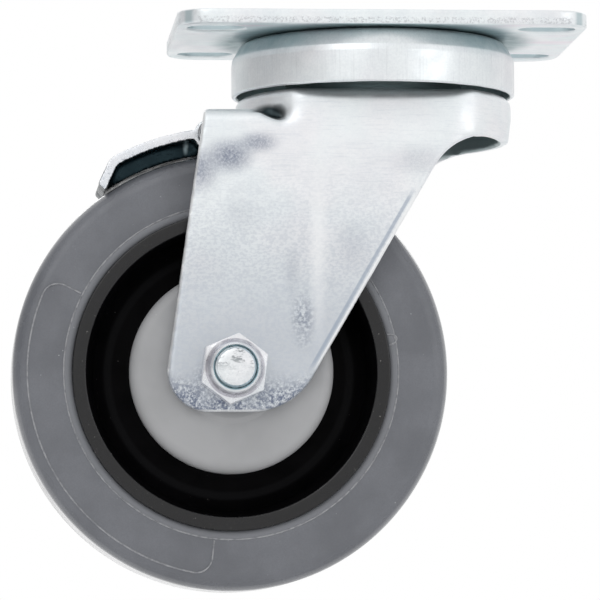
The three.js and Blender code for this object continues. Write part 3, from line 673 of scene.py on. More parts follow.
def paint_dome_shade(paint):
    """Painted shade darkens the dome's inside, the corner behind its wall and the ball groove."""
    height, across, reach = paint.part("Z"), paint.reach("Y"), paint.radius("Z")
    wall, leg, roof = (level - SHEET + 0.1 for level in (FORK_SKIRT_RADIUS, HALF_WIDTH_TOP, SHOULDER_TOP))
    # Painted shade inside the dome.
    inside = (
        paint.step(reach, wall, wall + 0.3),
        paint.step(across, leg, leg + 0.4),
        paint.step(height, roof, roof + 0.5),
        paint.step(height, SKIRT_BOTTOM + 0.5, SKIRT_BOTTOM - 3),
    )
    paint.stain((0.27, 0.345, 0.35), *inside, 0.9)
    # Painted shade on the corner seen through the relief.
    behind = paint.patch((-26.3, 0, FLANGE_TOP - 1.3), (5.5, 2 * HALF_WIDTH_TOP, 3.6), 0.4)
    paint.stain((0.03, 0.045, 0.05), behind, paint.step(across, leg + 1.6, leg + 2.0))
    # Painted shade on the crown under the cup's lip.
    crown = paint.product(
        paint.step(height, SHOULDER_TOP + 0.6, SHOULDER_TOP + 0.1),
        paint.step(reach, FORK_SKIRT_RADIUS - 4, FORK_SKIRT_RADIUS - 2),
    )
    paint.stain((0.38, 0.46, 0.47), crown)


def fork_zinc():
    light, dark = (0.95, 0.96, 0.965), (0.85, 0.87, 0.89)
    paint = zinc("mottled_zinc_fork", light, dark, rough=(0.34, 0.5), relief=0.006)
    for weather in (wear_legs, rub_leg_and_paint_highlight, spangle_foot, paint_edge_highlights, paint_dome_shade):
        weather(paint)
    return paint.material


def fastener_zinc():
    paint = zinc("blue_zinc_fastener", (0.92, 0.94, 0.95), (0.72, 0.76, 0.80), rough=(0.22, 0.42))
    paint.bump(paint.noise(0.9, detail=4, rough=0.7), 0.02)
    return paint.material


def nut_zinc():
    """The collar that locks the nut is dull, and its mouth gets painted teal shade where the bolt leaves a
    gap.
    """
    paint = zinc("blue_zinc_nut", (0.95, 0.96, 0.97), (0.78, 0.81, 0.84), rough=(0.22, 0.4))
    reach = paint.radius("Y", AXLE)
    rubbed = paint.scaled(paint.noise(2.2, detail=4), 0.3, 0.6, 0.35, 0.8)
    flank = paint.between(reach, NUT_COLLAR + 0.15, NUT_COLLAR + 1.0, 0.2)
    paint.stain((0.42, 0.41, 0.47), flank, rubbed)
    # Painted shade of the gap round the bolt.
    paint.stain(GAP_SHADE_TEAL, paint.step(reach, AXLE_RADIUS + 0.35, AXLE_RADIUS + 0.5), 0.8)
    paint.bump(rubbed, 0.03)
    return paint.material


def bolt_end_zinc():
    light, dark = (0.95, 0.96, 0.965), (0.74, 0.77, 0.79)
    paint = zinc("struck_zinc_bolt_end", light, dark, rough=(0.3, 0.5), relief=0.02)
    worn = paint.scaled(paint.noise(0.9, stretch=(3, 1, 1), detail=5, rough=0.75), 0.47, 0.58)
    upper = paint.step(paint.part("Z"), AXLE_Z + 2.6, AXLE_Z - 1.5)
    paint.stain((0.16, 0.19, 0.21), worn, upper, 0.8)
    # Painted shade of the gap between the thread's rim and the nut.
    rim = paint.step(paint.radius("Y", AXLE), AXLE_RADIUS - 0.35, AXLE_RADIUS - 0.6)
    paint.stain(GAP_SHADE_TEAL, rim, 0.75)
    paint.bump(worn, 0.05)
    return paint.material


def pedal_zinc():
    paint = zinc("bright_zinc_pedal", (0.94, 0.955, 0.965), (0.78, 0.82, 0.86), rough=(0.2, 0.38))
    reach = paint.radius("Y", AXLE)
    inner_face, edge = PEDAL_ARC - PEDAL_SHEET / 2, PEDAL_HALF_WIDTH - 0.05
    scuffs = paint.scaled(paint.noise(0.8, stretch=(1, 5, 1), detail=5, rough=0.75), 0.53, 0.66)
    paint.stain((0.20, 0.23, 0.28), scuffs, paint.step(reach, inner_face + 0.6, inner_face + 1.7), 0.6)
    # The underside is painted dark teal as the reflection of the dark tread it faces, with one painted
    # highlight.
    under = paint.product(paint.step(reach, inner_face + 0.1, inner_face + 0.5),
                          paint.step(paint.reach("Y"), edge - 0.3, edge))
    paint.stain((0.009, 0.026, 0.034), under)
    glint = paint.patch((PIVOT_X - 5.4, -9, PIVOT_Z - 1.5), (0.9, 6, 3.4), 1.0)
    paint.stain((0.65, 0.8, 0.84), glint, under, 0.8)
    paint.bump(scuffs, 0.02)
    return paint.material


def steel(name, color, rough):
    paint = Paint(name, Metallic=1.0)
    film = paint.noise(2.6, detail=4)
    paint.color(paint.mix(paint.scaled(film, 0.35, 0.7), color, tuple(0.72 * c for c in color)))
    paint.roughness(paint.scaled(paint.noise(0.7, detail=3), 0.3, 0.7, *rough))
    paint.bump(film, 0.006)
    return paint.material


def tyre_rubber(name, **gloss):
    paint = Paint(name, Metallic=0.0, **gloss)
    cloud = paint.noise(17, detail=4, rough=0.6)
    fine = paint.noise(0.35, detail=3, rough=0.6)
    paint.color(paint.mix(paint.scaled(cloud, 0.35, 0.68), (0.170, 0.177, 0.196), (0.136, 0.142, 0.158)))
    paint.stain((0.10, 0.105, 0.12), paint.scaled(fine, 0.35, 0.7, 0, 0.25))
    # Moulding flecks, small and pale.
    fleck = paint.noise(0.9, detail=2, rough=0.5, shift=(7, 3, 5))
    paint.stain((0.42, 0.43, 0.44), paint.scaled(fleck, 0.765, 0.79))
    # The inner band is paler, and the shoulders are polished by the mould.
    reach = paint.radius("Y", AXLE)
    paint.stain((0.215, 0.222, 0.24), paint.step(reach, TYRE_BAND - 0.1, TYRE_BAND + 0.1), 0.6)
    matt = paint.scaled(paint.noise(6, detail=4), 0.3, 0.7, 0.40, 0.58)
    polish = paint.product(paint.step(reach, TYRE_RADIUS - 1.2, TYRE_RADIUS - 3.6), 0.24)
    paint.roughness(paint.math("SUBTRACT", matt, polish))
    paint.bump(fine, 0.012)
    paint.bump(cloud, 0.06)
    return paint.material


def mould_line():
    # The fine moulded ridges get a paler colour as a painted highlight.
    paint = Paint("mould_line_painted_highlight", Metallic=0.0)
    wear = paint.noise(1.2, detail=3)
    paint.color(paint.mix(paint.scaled(wear, 0.35, 0.7), (0.33, 0.335, 0.35), (0.19, 0.195, 0.21)))
    paint.roughness(paint.scaled(wear, 0.3, 0.7, 0.4, 0.6))
    return paint.material


def nylon(name, light, dark, rough, **constants):
    """Black moulded plastic, slightly cloudy and wavy."""
    paint = Paint(name, Metallic=0.0, **constants)
    cloud = paint.noise(8, detail=3)
    paint.color(paint.mix(paint.scaled(cloud, 0.35, 0.7), light, dark))
    paint.roughness(paint.scaled(cloud, 0.3, 0.7, *rough))
    paint.bump(paint.noise(2.2, detail=4), 0.02)
    return paint


def dust(paint, tone, strength):
    specks = paint.scaled(paint.noise(0.7, detail=2, shift=(3, 1, 8)), 0.735, 0.77)
    paint.stain(tone, specks, strength)


def core_plastic():
    paint = nylon("black_moulded_nylon", (0.005, 0.0048, 0.0056), (0.003, 0.003, 0.0034), (0.2, 0.34))
    worn = paint.scaled(paint.noise(1.1, detail=4, rough=0.7), 0.4, 0.75, 0, 0.4)
    paint.stain((0.010, 0.0095, 0.011), worn)
    dust(paint, (0.22, 0.21, 0.2), 0.7)
    return paint.material


def shaded_groove_plastic():
    """A shaded copy of the core's plastic for its deep groove: painted shade keeps it from shining, apart
    from a painted highlight ring near the middle of its floor.
    """
    light, dark = (0.0036, 0.0034, 0.004), (0.002, 0.002, 0.0024)
    paint = nylon("black_moulded_groove_painted_shade", light, dark, (0.3, 0.45), Specular_IOR_Level=0.03)
    # Painted highlight ring on the groove's floor.
    paint.stain((0.0085, 0.0085, 0.0095), paint.between(paint.radius("Y", AXLE), 28.0, 28.9, 0.9))
    dust(paint, (0.2, 0.19, 0.18), 0.5)
    return paint.material


def guard_plastic():
    paint = Paint("grey_moulded_guard", Metallic=0.0)
    cloud = paint.noise(14, detail=3)
    paint.color(paint.mix(paint.scaled(cloud, 0.35, 0.7), (0.385, 0.388, 0.396), (0.345, 0.348, 0.356)))
    speck = paint.scaled(paint.noise(0.8, detail=2, shift=(4, 4, 1)), 0.74, 0.78)
    paint.stain((0.5, 0.5, 0.5), speck, 0.5)
    paint.roughness(paint.scaled(paint.noise(2.5, detail=3), 0.3, 0.7, 0.46, 0.6))
    paint.bump(paint.noise(0.3, detail=2), 0.008)
    return paint.material


PLATE_ZINC, CUP_ZINC, FORK_ZINC = plate_zinc(), cup_zinc(), fork_zinc()
FASTENER_ZINC, NUT_ZINC, BOLT_END = fastener_zinc(), nut_zinc(), bolt_end_zinc()
PEDAL_ZINC = pedal_zinc()
BALL_STEEL = steel("polished_bearing_steel", (0.78, 0.78, 0.80), (0.08, 0.2))
SPRING_STEEL = steel("drawn_spring_steel", (0.42, 0.43, 0.45), (0.25, 0.45))
TYRE_RUBBER, MOULD_LINE = tyre_rubber("grey_thermoplastic_rubber"), mould_line()
TREAD_RUBBER = tyre_rubber("polished_tread_rubber", Coat_Weight=1.0, Coat_Roughness=0.14)
CORE_PLASTIC, SHADED_GROOVE_PLASTIC, GUARD_PLASTIC = core_plastic(), shaded_groove_plastic(), guard_plastic()

# ---- Swivel head ---------------------------------------------------------------------------------


def rectangle(length, width, radius, centre=(0, 0), steps=12):
    (x, y), (a, b) = centre, (length / 2, width / 2)
    corners = [(x - a, y - b), (x + a, y - b), (x + a, y + b), (x - a, y + b)]
    return rounded(corners, radius, steps)


def top_plate():
    length, width = plate_high.x - plate_low.x, plate_high.y - plate_low.y
    plate = prism(rectangle(length, width, PLATE_CORNER), "Z", PLATE_BOTTOM, plate_high.z)
    for x in (-SLOT_SPACING[0] / 2, SLOT_SPACING[0] / 2):
        for y in (-SLOT_SPACING[1] / 2, SLOT_SPACING[1] / 2):
            slot = rectangle(*SLOT_SIZE, SLOT_SIZE[1] / 2 - 0.05, (x, y))
            combine(plate, "DIFFERENCE", prism(slot, "Z", *WHOLE))
    flare_from, flare_to, below, above = -3.1, -0.7, PLATE_BOTTOM - 5.5, 1
    funnel = [(0, below), (RIVET_HOLE, below), (RIVET_HOLE, flare_from), (RIVET_FLARE, flare_to),
              (RIVET_FLARE, above), (0, above)]
    combine(plate, "DIFFERENCE", lathe("hole", funnel, segments=96))

    def torn_edge(point):
        """The lower part of the sheared edge is torn. The flat faces stay true."""
        x, y, z = point
        out = max(abs(x) - length / 2, abs(y) - width / 2)
        low = float(smoothstep(PLATE_BOTTOM + 2.2, PLATE_BOTTOM + 1.2, z)) * (z > PLATE_BOTTOM + 0.3)
        return 0.07 * low * grain(point, 0.7) if out > -0.4 else 0.0

    forge(plate, 0.4, 2, dents=torn_edge)
    finish(plate, "plate_pressing", PLATE_ZINC, "swivel_head", ["top_plate"])


def raceway_cup():
    top, bottom, ceiling = cup_high.z, cup_low.z, cup_high.z - CUP_SHEET
    inner = CUP_RADIUS - CUP_SHEET
    outline = [
        (KINGPIN_BORE, top), (CUP_SHOULDER, top), (CUP_RADIUS - 0.2, CUP_BAND_TOP + 0.7),
        (CUP_RADIUS, CUP_BAND_TOP - 0.6), (CUP_RADIUS, bottom), (inner, bottom), (inner, CUP_BAND_TOP),
        (CUP_SHOULDER - 1.6, ceiling), (KINGPIN_BORE, ceiling),
    ]
    profile = rounded(outline, [0.2, 3.2, 1.2, 2.0, 0.55, 0.5, 2.2, 2.2, 0.2], 8)

    def nicked_lip(angle, radius, height):
        """The trimmed lip is slightly ragged."""
        share = float(smoothstep(bottom + 1.2, bottom, height))
        spot = (30 * math.cos(angle), 30 * math.sin(angle), 0)
        ragged = 0.07 * grain(spot, 5) + 0.10 * max(0, grain(spot, 1.3, 4) - 0.25)
        return radius, height + share * (ragged + 0.05)

    cup = lathe("cup", profile, segments=360, shape=nicked_lip)
    finish(cup, "raceway_cup_pressing", CUP_ZINC, "swivel_head", ["raceway_cup"])


def kingpin():
    top, bottom = kingpin_high.z, kingpin_low.z
    flare, shank, head, flare_from, head_height = 8.6, KINGPIN_SHANK, 10, -2.8, 4
    dimple = [(0, top - 0.5), (3.2, top - 0.4), (4.6, top)]
    outline = [
        *dimple, (flare, top), (flare, top - 0.6), (shank, flare_from), (shank, bottom + head_height),
        (head, bottom + head_height), (head, bottom + 1.6), (head - 2.4, bottom), (0, bottom),
    ]
    profile = rounded(outline, [0, 1, 1, 0.35, 0.4, 0.5, 0.3, 0.5, 1.2, 1.0, 0])
    pin = lathe("pin", profile, segments=128)
    finish(pin, "kingpin_rivet", FASTENER_ZINC, "swivel_head", ["kingpin"])


def ball_groove(prefix, size):
    """The centre, as radius and height, and the radius of the groove that a ring of balls runs in."""
    ball_radius, circle, _ = size
    return (circle, node_middle(f"{prefix}_1")[2]), ball_radius + BALL_PLAY


def lower_race():
    bore, outside, top, bottom, edge, chamfer = KINGPIN_BORE, 16, race_high.z, race_low.z, 0.3, 0.6
    centre, radius = ball_groove("lower_ball", LOWER_BALL)
    groove = arc(centre, radius, -139, -41, 16)
    groove_end = groove[-1][1]
    outline = [
        (bore, bottom), (bore, top - edge), (bore + edge, top), *groove, (outside - chamfer, groove_end),
        (outside, groove_end - chamfer), (outside, bottom + edge), (outside - edge, bottom),
    ]
    race = lathe("race", outline, segments=144)
    finish(race, "lower_race_washer", FASTENER_ZINC, "swivel_head", ["lower_race"])


def ball(radius, centre):
    made = bmesh.new()
    bmesh.ops.create_icosphere(made, subdivisions=4, radius=radius * MM)
    bmesh.ops.translate(made, verts=made.verts, vec=Vector(centre) * MM)
    return place_shape("ball", made)


def ball_ring(name, prefix, size, body):
    radius, circle, count = size
    nodes = [f"{prefix}_{i + 1}" for i in range(count)]
    height = node_middle(nodes[0])[2]
    balls = [ball(radius, (x, y, height)) for x, y in around(circle, count)]
    finish(joined(name, *balls), name, BALL_STEEL, body, nodes)


# ---- Fork ----------------------------------------------------------------------------------------


def leg_outline():
    """Both legs from the side: steep rear edge, rounded foot, raked front edge curling into the rim."""
    bottom = AXLE_Z - LEG_FOOT
    rear_top, front_bottom = AXLE_X - LEG_REAR, AXLE_X + LEG_FRONT
    at_rim = front_bottom + (SKIRT_BOTTOM - bottom) * LEG_FRONT_SLOPE
    rear_corner, front_corner, flare, rim_end = 9.6, 17, 15, FORK_SKIRT_RADIUS + 10
    corners = [
        (rear_top, FLANGE_TOP),
        (rear_top - (FLANGE_TOP - bottom) * LEG_REAR_SLOPE, bottom),
        (front_bottom, bottom),
        (at_rim, SKIRT_BOTTOM),
        (rim_end, SKIRT_BOTTOM),
        (rim_end, FLANGE_TOP),
    ]
    return rounded(corners, [0, rear_corner, front_corner, flare, 0, 0], 20)


def leg_section(inset):
    """Both legs across the fork, inset by a sheet thickness for the inside."""
    top, wide, narrow = FLANGE_TOP - inset, HALF_WIDTH_TOP - inset, HALF_WIDTH_AXLE - inset
    right = [(wide, top), (wide, TAPER_TOP), (narrow, TAPER_BOTTOM), (narrow, -2 * BEYOND)]
    left = [(-y, z) for y, z in reversed(right)]
    radii = [LEG_BEND - inset, 60, 60, 0]
    return rounded(right + left, radii + radii[::-1], 10)


def dome_section(inset):
    top, wide = SHOULDER_TOP - inset, HALF_WIDTH_TOP - inset
    bend = LEG_BEND - inset
    right = [(wide - bend, 0), (wide - bend, top), *arc((wide - bend, top - bend), bend, 90, 0, 8)[1:],
             (wide, -BEYOND)]
    return right + [(-y, z) for y, z in reversed(right)]


def skirt_plan(inset, flat_inset):
    """The dome's plan: a circle between two flats, with broad corners, the rear ones tighter."""
    radius, wide = FORK_SKIRT_RADIUS - inset, HALF_WIDTH_TOP - flat_inset
    outline = []
    for corner, side in ((12, 1), (9, -1)):
        corner -= flat_inset
        across = math.sqrt((radius - corner) ** 2 - (wide - corner) ** 2)
        meets = math.degrees(math.atan2(wide - corner, across))
        quarter = arc((across, wide - corner), corner, 90, meets, 10)
        half = quarter + arc((0, 0), radius, meets, -meets, 40)[1:-1]
        half += [(x, -y) for x, y in reversed(quarter)]
        outline += [(side * x, side * y) for x, y in half]
    return outline


def leg_room():
    """Where the legs may be: anywhere behind the swivel axis, but only inside the skirt ahead of it."""
    ahead = prism(skirt_plan(SKIRT_TAPER, 0), "Z", -BEYOND, 0)
    return combine(ahead, "UNION", block((-BEYOND, 0), (-BEYOND, BEYOND), (-BEYOND, 0)))


def dome_outer():
    centre, groove = ball_groove("upper_ball", UPPER_BALL)
    top, skirt, shoulder = fork_high.z, FORK_SKIRT_RADIUS, SHOULDER_TOP
    rim = [
        (CROWN_RADIUS, top), (CROWN_RADIUS + 1.4, shoulder), (skirt, shoulder),
        (skirt, shoulder - 5), (skirt - SKIRT_TAPER, SKIRT_BOTTOM),
    ]
    points = rounded([(0, top - 30), (0, top), *rim, (0, SKIRT_BOTTOM)], [0, 0, 0.9, 1.2, 3.2, 4, 0, 0], 8)
    crown = [(0, top), *arc(centre, groove, 221.5, 318.5, 12)]
    outside = [point for point in points if point[0] > CROWN_RADIUS - 1.5]
    return lathe("dome", crown + outside + [(0, SKIRT_BOTTOM)])


def dome_inner():
    (circle, ball_z), groove = ball_groove("upper_ball", UPPER_BALL)
    under, shoulder, skirt = fork_high.z - SHEET, SHOULDER_TOP - SHEET, FORK_SKIRT_RADIUS - SHEET
    groove_bottom = ball_z - groove - SHEET
    outline = [
        (0, under), (circle - 3, under), (circle - 1.4, groove_bottom),
        (CROWN_RADIUS - 1.6, groove_bottom), (CROWN_RADIUS - 1.2, shoulder), (skirt, shoulder),
        (skirt, shoulder - 4), (skirt - SKIRT_TAPER, SKIRT_BOTTOM - 1), (0, SKIRT_BOTTOM - 1),
    ]
    return lathe("hollow", rounded(outline, [0, 0.8, 0.8, 0.3, 0.3, 1.8, 3, 0, 0], 6))


def bend_reliefs():
    """A small opening in each side, where the legs' bend meets the dome's wall."""
    rear, front = -29.5, -22.8
    outline = [
        (rear, FLANGE_TOP + 0.6), (rear + 0.3, FLANGE_TOP - 0.4), (rear + 3.5, FLANGE_TOP - 1.7),
        (front, FLANGE_TOP - 2.6), (front + 0.8, FLANGE_TOP - 2), (front, FLANGE_TOP + 0.6),
    ]
    smooth, inside_leg = rounded(outline, 0.5, 4), 20
    return [prism(smooth, "Y", -BEYOND, -inside_leg), prism(smooth, "Y", inside_leg, BEYOND)]


def fork():
    legs = prism(leg_outline(), "Y", *WHOLE)
    body = combine(legs, "INTERSECT", prism(leg_section(0), "X", *WHOLE), leg_room())
    dome, hollow = dome_outer(), dome_inner()
    for shape, inset in ((dome, 0), (hollow, SHEET)):
        plan = prism(skirt_plan(inset, inset), "Z", *WHOLE)
        combine(shape, "INTERSECT", prism(dome_section(inset), "X", *WHOLE), plan)
    floor_z = -2 * BEYOND
    rear, front = (prism(leg_section(SHEET), "X", -BEYOND, end) for end in (0, BEYOND))
    combine(rear, "INTERSECT", block(WHOLE, WHOLE, (floor_z, 0)))
    combine(front, "INTERSECT", block(WHOLE, WHOLE, (floor_z, SKIRT_BOTTOM - 0.2)))
    notch = block((-BEYOND, FLANGE_EDGE), (-NOTCH_HALF_WIDTH, NOTCH_HALF_WIDTH), (TAPER_TOP, SHOULDER_TOP))
    seats = rod(PIN_BORE, "Y", pin_low.y - 0.3, pin_high.y + 0.3, PIVOT)
    axle_hole = rod(AXLE_RADIUS + 0.3, "Y", *WHOLE, AXLE)
    kingpin_hole = rod(FORK_HOLE_RADIUS, "Z", -BEYOND, 0)
    combine(body, "UNION", dome)
    combine(body, "DIFFERENCE", hollow, rear, front, notch, kingpin_hole, axle_hole, seats, *bend_reliefs())

    def soft_corners(points):
        """The crease where the flange runs into the dome's wall is well rounded."""
        x, y, z = points.T
        near = np.sqrt((x + 23) ** 2 + (np.abs(y) - HALF_WIDTH_TOP + 1) ** 2 + (z - FLANGE_TOP) ** 2)
        return 0.8 * smoothstep(6, 2, near)

    def press_marks(point):
        """Slight hollows and ripples that pressing leaves in the legs."""
        wave = 0.10 * grain(point, 15) + 0.035 * grain(point, 5, 3)
        x, _, z = point
        return wave * float(smoothstep(9, 15, from_axle(x, z))) * float(smoothstep(-18.5, -24, z))

    forge(body, 0.56, 3, soft_corners, press_marks)
    finish(body, "fork_pressing", FORK_ZINC, "fork", ["fork"])


# ---- Axle ----------------------------------------------------------------------------------------


def hexagonal(turn, first, last):
    """A lathe shape that flattens everything between two heights into a hexagon."""

    def shape(angle, radius, height):
        if first - 0.01 <= height <= last + 0.01:
            within = (angle - turn) % (math.pi / 3) - math.pi / 6
            radius = min(radius, HEX_APOTHEM / math.cos(within))
        return radius, height

    return shape


def chamfered_hex(face, back, steps):
    """Profile of a hexagon's outside from its chamfered face to its back, both as heights."""
    corner = HEX_APOTHEM / math.cos(math.pi / 6)
    flat = HEX_APOTHEM - 0.35
    slope = (corner - flat) * math.tan(math.radians(30))
    toward = 1 if back > face else -1
    rise = [(flat + (corner - flat) * k / 8, face + toward * slope * k / 8) for k in range(9)]
    return rise + [(corner, face + (back - face) * k / steps) for k in range(2, steps)] + [(corner, back)]


def axle_nut():
    back, collar_end, hexagon = nut_high.y, nut_low.y, 6.6
    hex_face, bore, collar = back - hexagon, AXLE_RADIUS + 0.08, NUT_COLLAR
    outline = [
        (bore, collar_end + 0.9), (AXLE_RADIUS + 0.5, collar_end), (collar - 0.45, collar_end),
        (collar, collar_end + 0.6), (collar + 0.25, hex_face - 1.6), (collar + 0.9, hex_face - 0.15),
    ]
    crown = rounded(outline, [0.1, 0.15, 0.3, 0.4, 0.8, 0.3], 5)
    profile = crown + chamfered_hex(hex_face, back, 6) + [(bore, back)]
    nut = lathe("nut", profile, "Y", AXLE, 384, hexagonal(math.pi / 6 - NUT_TURN, hex_face, back))
    finish(nut, "lock_nut", NUT_ZINC, "fork", ["axle_nut"], 25)


def axle_bolt():
    tip, head_end = bolt_low.y, bolt_high.y
    head_height, thread_length, pitch, groove_depth = 6, 15, 1.5, 0.75
    head_start, thread_end, thread_step = head_end - head_height, tip + thread_length, pitch / 12
    end = [(0, tip + 0.12), (2.4, tip + 0.05), (AXLE_RADIUS - 0.9, tip), (AXLE_RADIUS - 0.5, tip + 0.15)]
    rows = range(int((thread_end - tip) / thread_step))
    thread = [(AXLE_RADIUS, tip + 0.8 + thread_step * k) for k in rows]
    dish = [(HEX_APOTHEM - 0.9, head_end), (HEX_APOTHEM - 1.3, head_end - 0.15), (0, head_end - 0.15)]
    head = [(AXLE_RADIUS, head_start), *reversed(chamfered_hex(head_end, head_start, 6)), *dish]

    def threaded(angle, radius, height):
        radius, height = hexagonal(math.pi / 6, head_start, head_end)(angle, radius, height)
        if tip + 0.7 < height < thread_end and radius > AXLE_RADIUS - 0.01:
            phase = (height / pitch + angle / FULL_TURN) % 1
            run_out = float(smoothstep(thread_end, thread_end - 2, height))
            radius -= groove_depth * abs(2 * phase - 1) * run_out
        return radius, height

    bolt = lathe("bolt", end + thread + head, "Y", AXLE, 192, threaded)
    two_toned(bolt, FASTENER_ZINC, BOLT_END, lambda x, y, z: y < tip + 0.4)
    finish(bolt, "axle_hex_bolt", FASTENER_ZINC, "fork", ["axle_bolt"], 30)


def spanner_bushing():
    low, high = node_box("spanner_bushing")
    bore, outside = BUSHING_BORE, BUSHING_RADIUS
    outline = [(bore, low.y), (outside, low.y), (outside, high.y), (bore, high.y)]
    bushing = lathe("bushing", rounded(outline, 0.3, 5), "Y", AXLE, 96)
    finish(bushing, "axle_bushing", FASTENER_ZINC, "fork", ["spanner_bushing"])


# ---- Wheel ---------------------------------------------------------------------------------------


def wheel_core():
    """Hub, web and rim of one moulding, with a deep groove in each side."""
    bore, seat, hub, rim_bore, rim, ridge = 9.5, 14.8, 19.6, 33.8, 36.95, 38.5  # radii
    side, stop, web, ridge_foot, ridge_top = 17.2, 10.1, 4.2, 4, 3.2  # distances from the middle plane
    half = [
        (bore, stop), (seat, stop), (seat, side), (hub, side), (hub + 1.6, web), (rim_bore - 2, web),
        (rim_bore, side), (rim, side), (rim, ridge_foot), (ridge, ridge_top),
    ]
    radii = [0.2, 0.3, 0.3, 0.6, 3.5, 4.0, 0.45, 0.4, 0.5, 0.3]
    profile = rounded(mirrored(half), radii + radii[::-1], 8)
    core = lathe("core", profile, "Y", AXLE, 240)

    def in_groove(x, y, z):
        return hub + 0.1 < from_axle(x, z) < rim_bore - 0.1 and abs(y) < side - 0.2

    two_toned(core, CORE_PLASTIC, SHADED_GROOVE_PLASTIC, in_groove)
    finish(core, "wheel_core_moulding", CORE_PLASTIC, "wheel", ["wheel_core"])


def on_side(radius, degrees):
    """A point on the tyre's near side, angles as seen from -Y, anticlockwise from +X."""
    angle = math.radians(degrees)
    x, z = AXLE_X + radius * math.cos(angle), AXLE_Z + radius * math.sin(angle)
    return x, z, side_height(radius)


SIDE_PROFILE = [  # radius and distance from the middle plane of the tyre's side, from the rim outwards
    (37.0, 15.55), (37.25, 15.75), (38.55, 15.8), (38.85, 15.62), (39.3, 15.66), (42.5, 15.35), (45.5, 14.75),
]
SHOULDER_CENTRE = (TYRE_RADIUS - TYRE_SHOULDER, SIDE_PROFILE[-1][1] - 4.1)


def side_height(radius):
    radii, heights = zip(*SIDE_PROFILE)
    if radius <= radii[-1]:
        return float(np.interp(radius, radii, heights))
    drop = np.clip(radius - SHOULDER_CENTRE[0], 0, TYRE_SHOULDER)
    return SHOULDER_CENTRE[1] + math.sqrt(TYRE_SHOULDER**2 - drop**2)


def mould_ridge(points, side):
    """A fine raised line on the tyre's side, half sunk in it."""
    path = [(x, side * (height + 0.01), z) for x, z, height in points]
    return tube("ridge", path, 0.2, 8)


def panel_outline():
    """The outline of a plain moulded panel: two arcs about the axle and two ends with round corners."""
    start, end, inner, outer, corner = 152.5, 264, 39.3, 47.3, 4
    turn = math.degrees(corner / outer)
    bends = [(math.sin(a), 1 - math.cos(a)) for a in np.linspace(0, math.pi / 2, 9)[1:-1]]
    shut = [(inner, 0), (outer - corner, 0), *((outer - corner + corner * r, turn * t) for r, t in bends)]
    curve = [(outer, degrees) for degrees in np.linspace(start + turn, end - turn, 90)]
    flat = [(r, start + t) for r, t in shut] + curve + [(r, end - t) for r, t in reversed(shut)]
    return [on_side(radius, degrees) for radius, degrees in flat]


def gate_mark():
    """A small plain arch on the inner band, where the mould was filled."""
    foot, height, turn, half_span = 37.2, 2.1, 11.5, 1.9  # its angles in degrees
    steps = np.linspace(0, math.pi, 14)
    arch = [(foot + height * math.sin(a), turn + half_span * math.cos(a)) for a in steps]
    return [on_side(radius, degrees) for radius, degrees in arch]


def tyre():
    bore, key, base = 37, 38.8, SHOULDER_CENTRE[1]
    curve = arc(SHOULDER_CENTRE, TYRE_SHOULDER, 84, 8, 14)
    tread = [(TYRE_RADIUS - 0.02, base - 2), *((TYRE_RADIUS, height) for height in (4, 0.35, 0.12))]
    half = [(key, 3.6), (bore, 4.4), (bore, 15.2), *SIDE_PROFILE, *curve, *tread]
    body = lathe("tyre", mirrored(half), "Y", AXLE, 360)
    two_toned(body, TYRE_RUBBER, TREAD_RUBBER, lambda x, y, z: from_axle(x, z) > TYRE_RADIUS - 0.9)
    ring = [on_side(TYRE_BAND, degrees) for degrees in np.linspace(0, 360, 241)]
    lines = (panel_outline(), gate_mark(), ring)
    ridges = [mould_ridge(line, side) for side in (-1, 1) for line in lines]
    for ridge in ridges:
        ridge.data.materials.append(MOULD_LINE)
    whole = joined("tyre_moulding", body, *ridges)
    finish(whole, "tyre_moulding", TYRE_RUBBER, "wheel", ["tyre"], 40)


def thread_guard(label, side):
    low, high = node_box(f"{label}_thread_guard")
    face = max(abs(low.y), abs(high.y))
    radius, bore, boss, sheet, depth, sunk = (high.x - low.x) / 2, 7.95, 11, 1.2, 6.5, 0.6
    outline = [
        (bore, face - sheet), (bore, face), (boss, face), (boss + 1.2, face - 0.5), (radius, face - sunk),
        (radius, face - depth), (radius - sheet, face - depth), (radius - sheet, face - sheet - sunk),
    ]
    profile = rounded(outline, [0.2, 0.3, 0.8, 0.8, 3.8, 0.4, 0.4, 2.6], 10)
    guard = lathe("guard", [(r, side * y) for r, y in profile], "Y", AXLE, 192)
    name = f"{label}_guard_moulding"
    finish(guard, name, GUARD_PLASTIC, "wheel", [f"{label}_thread_guard"])


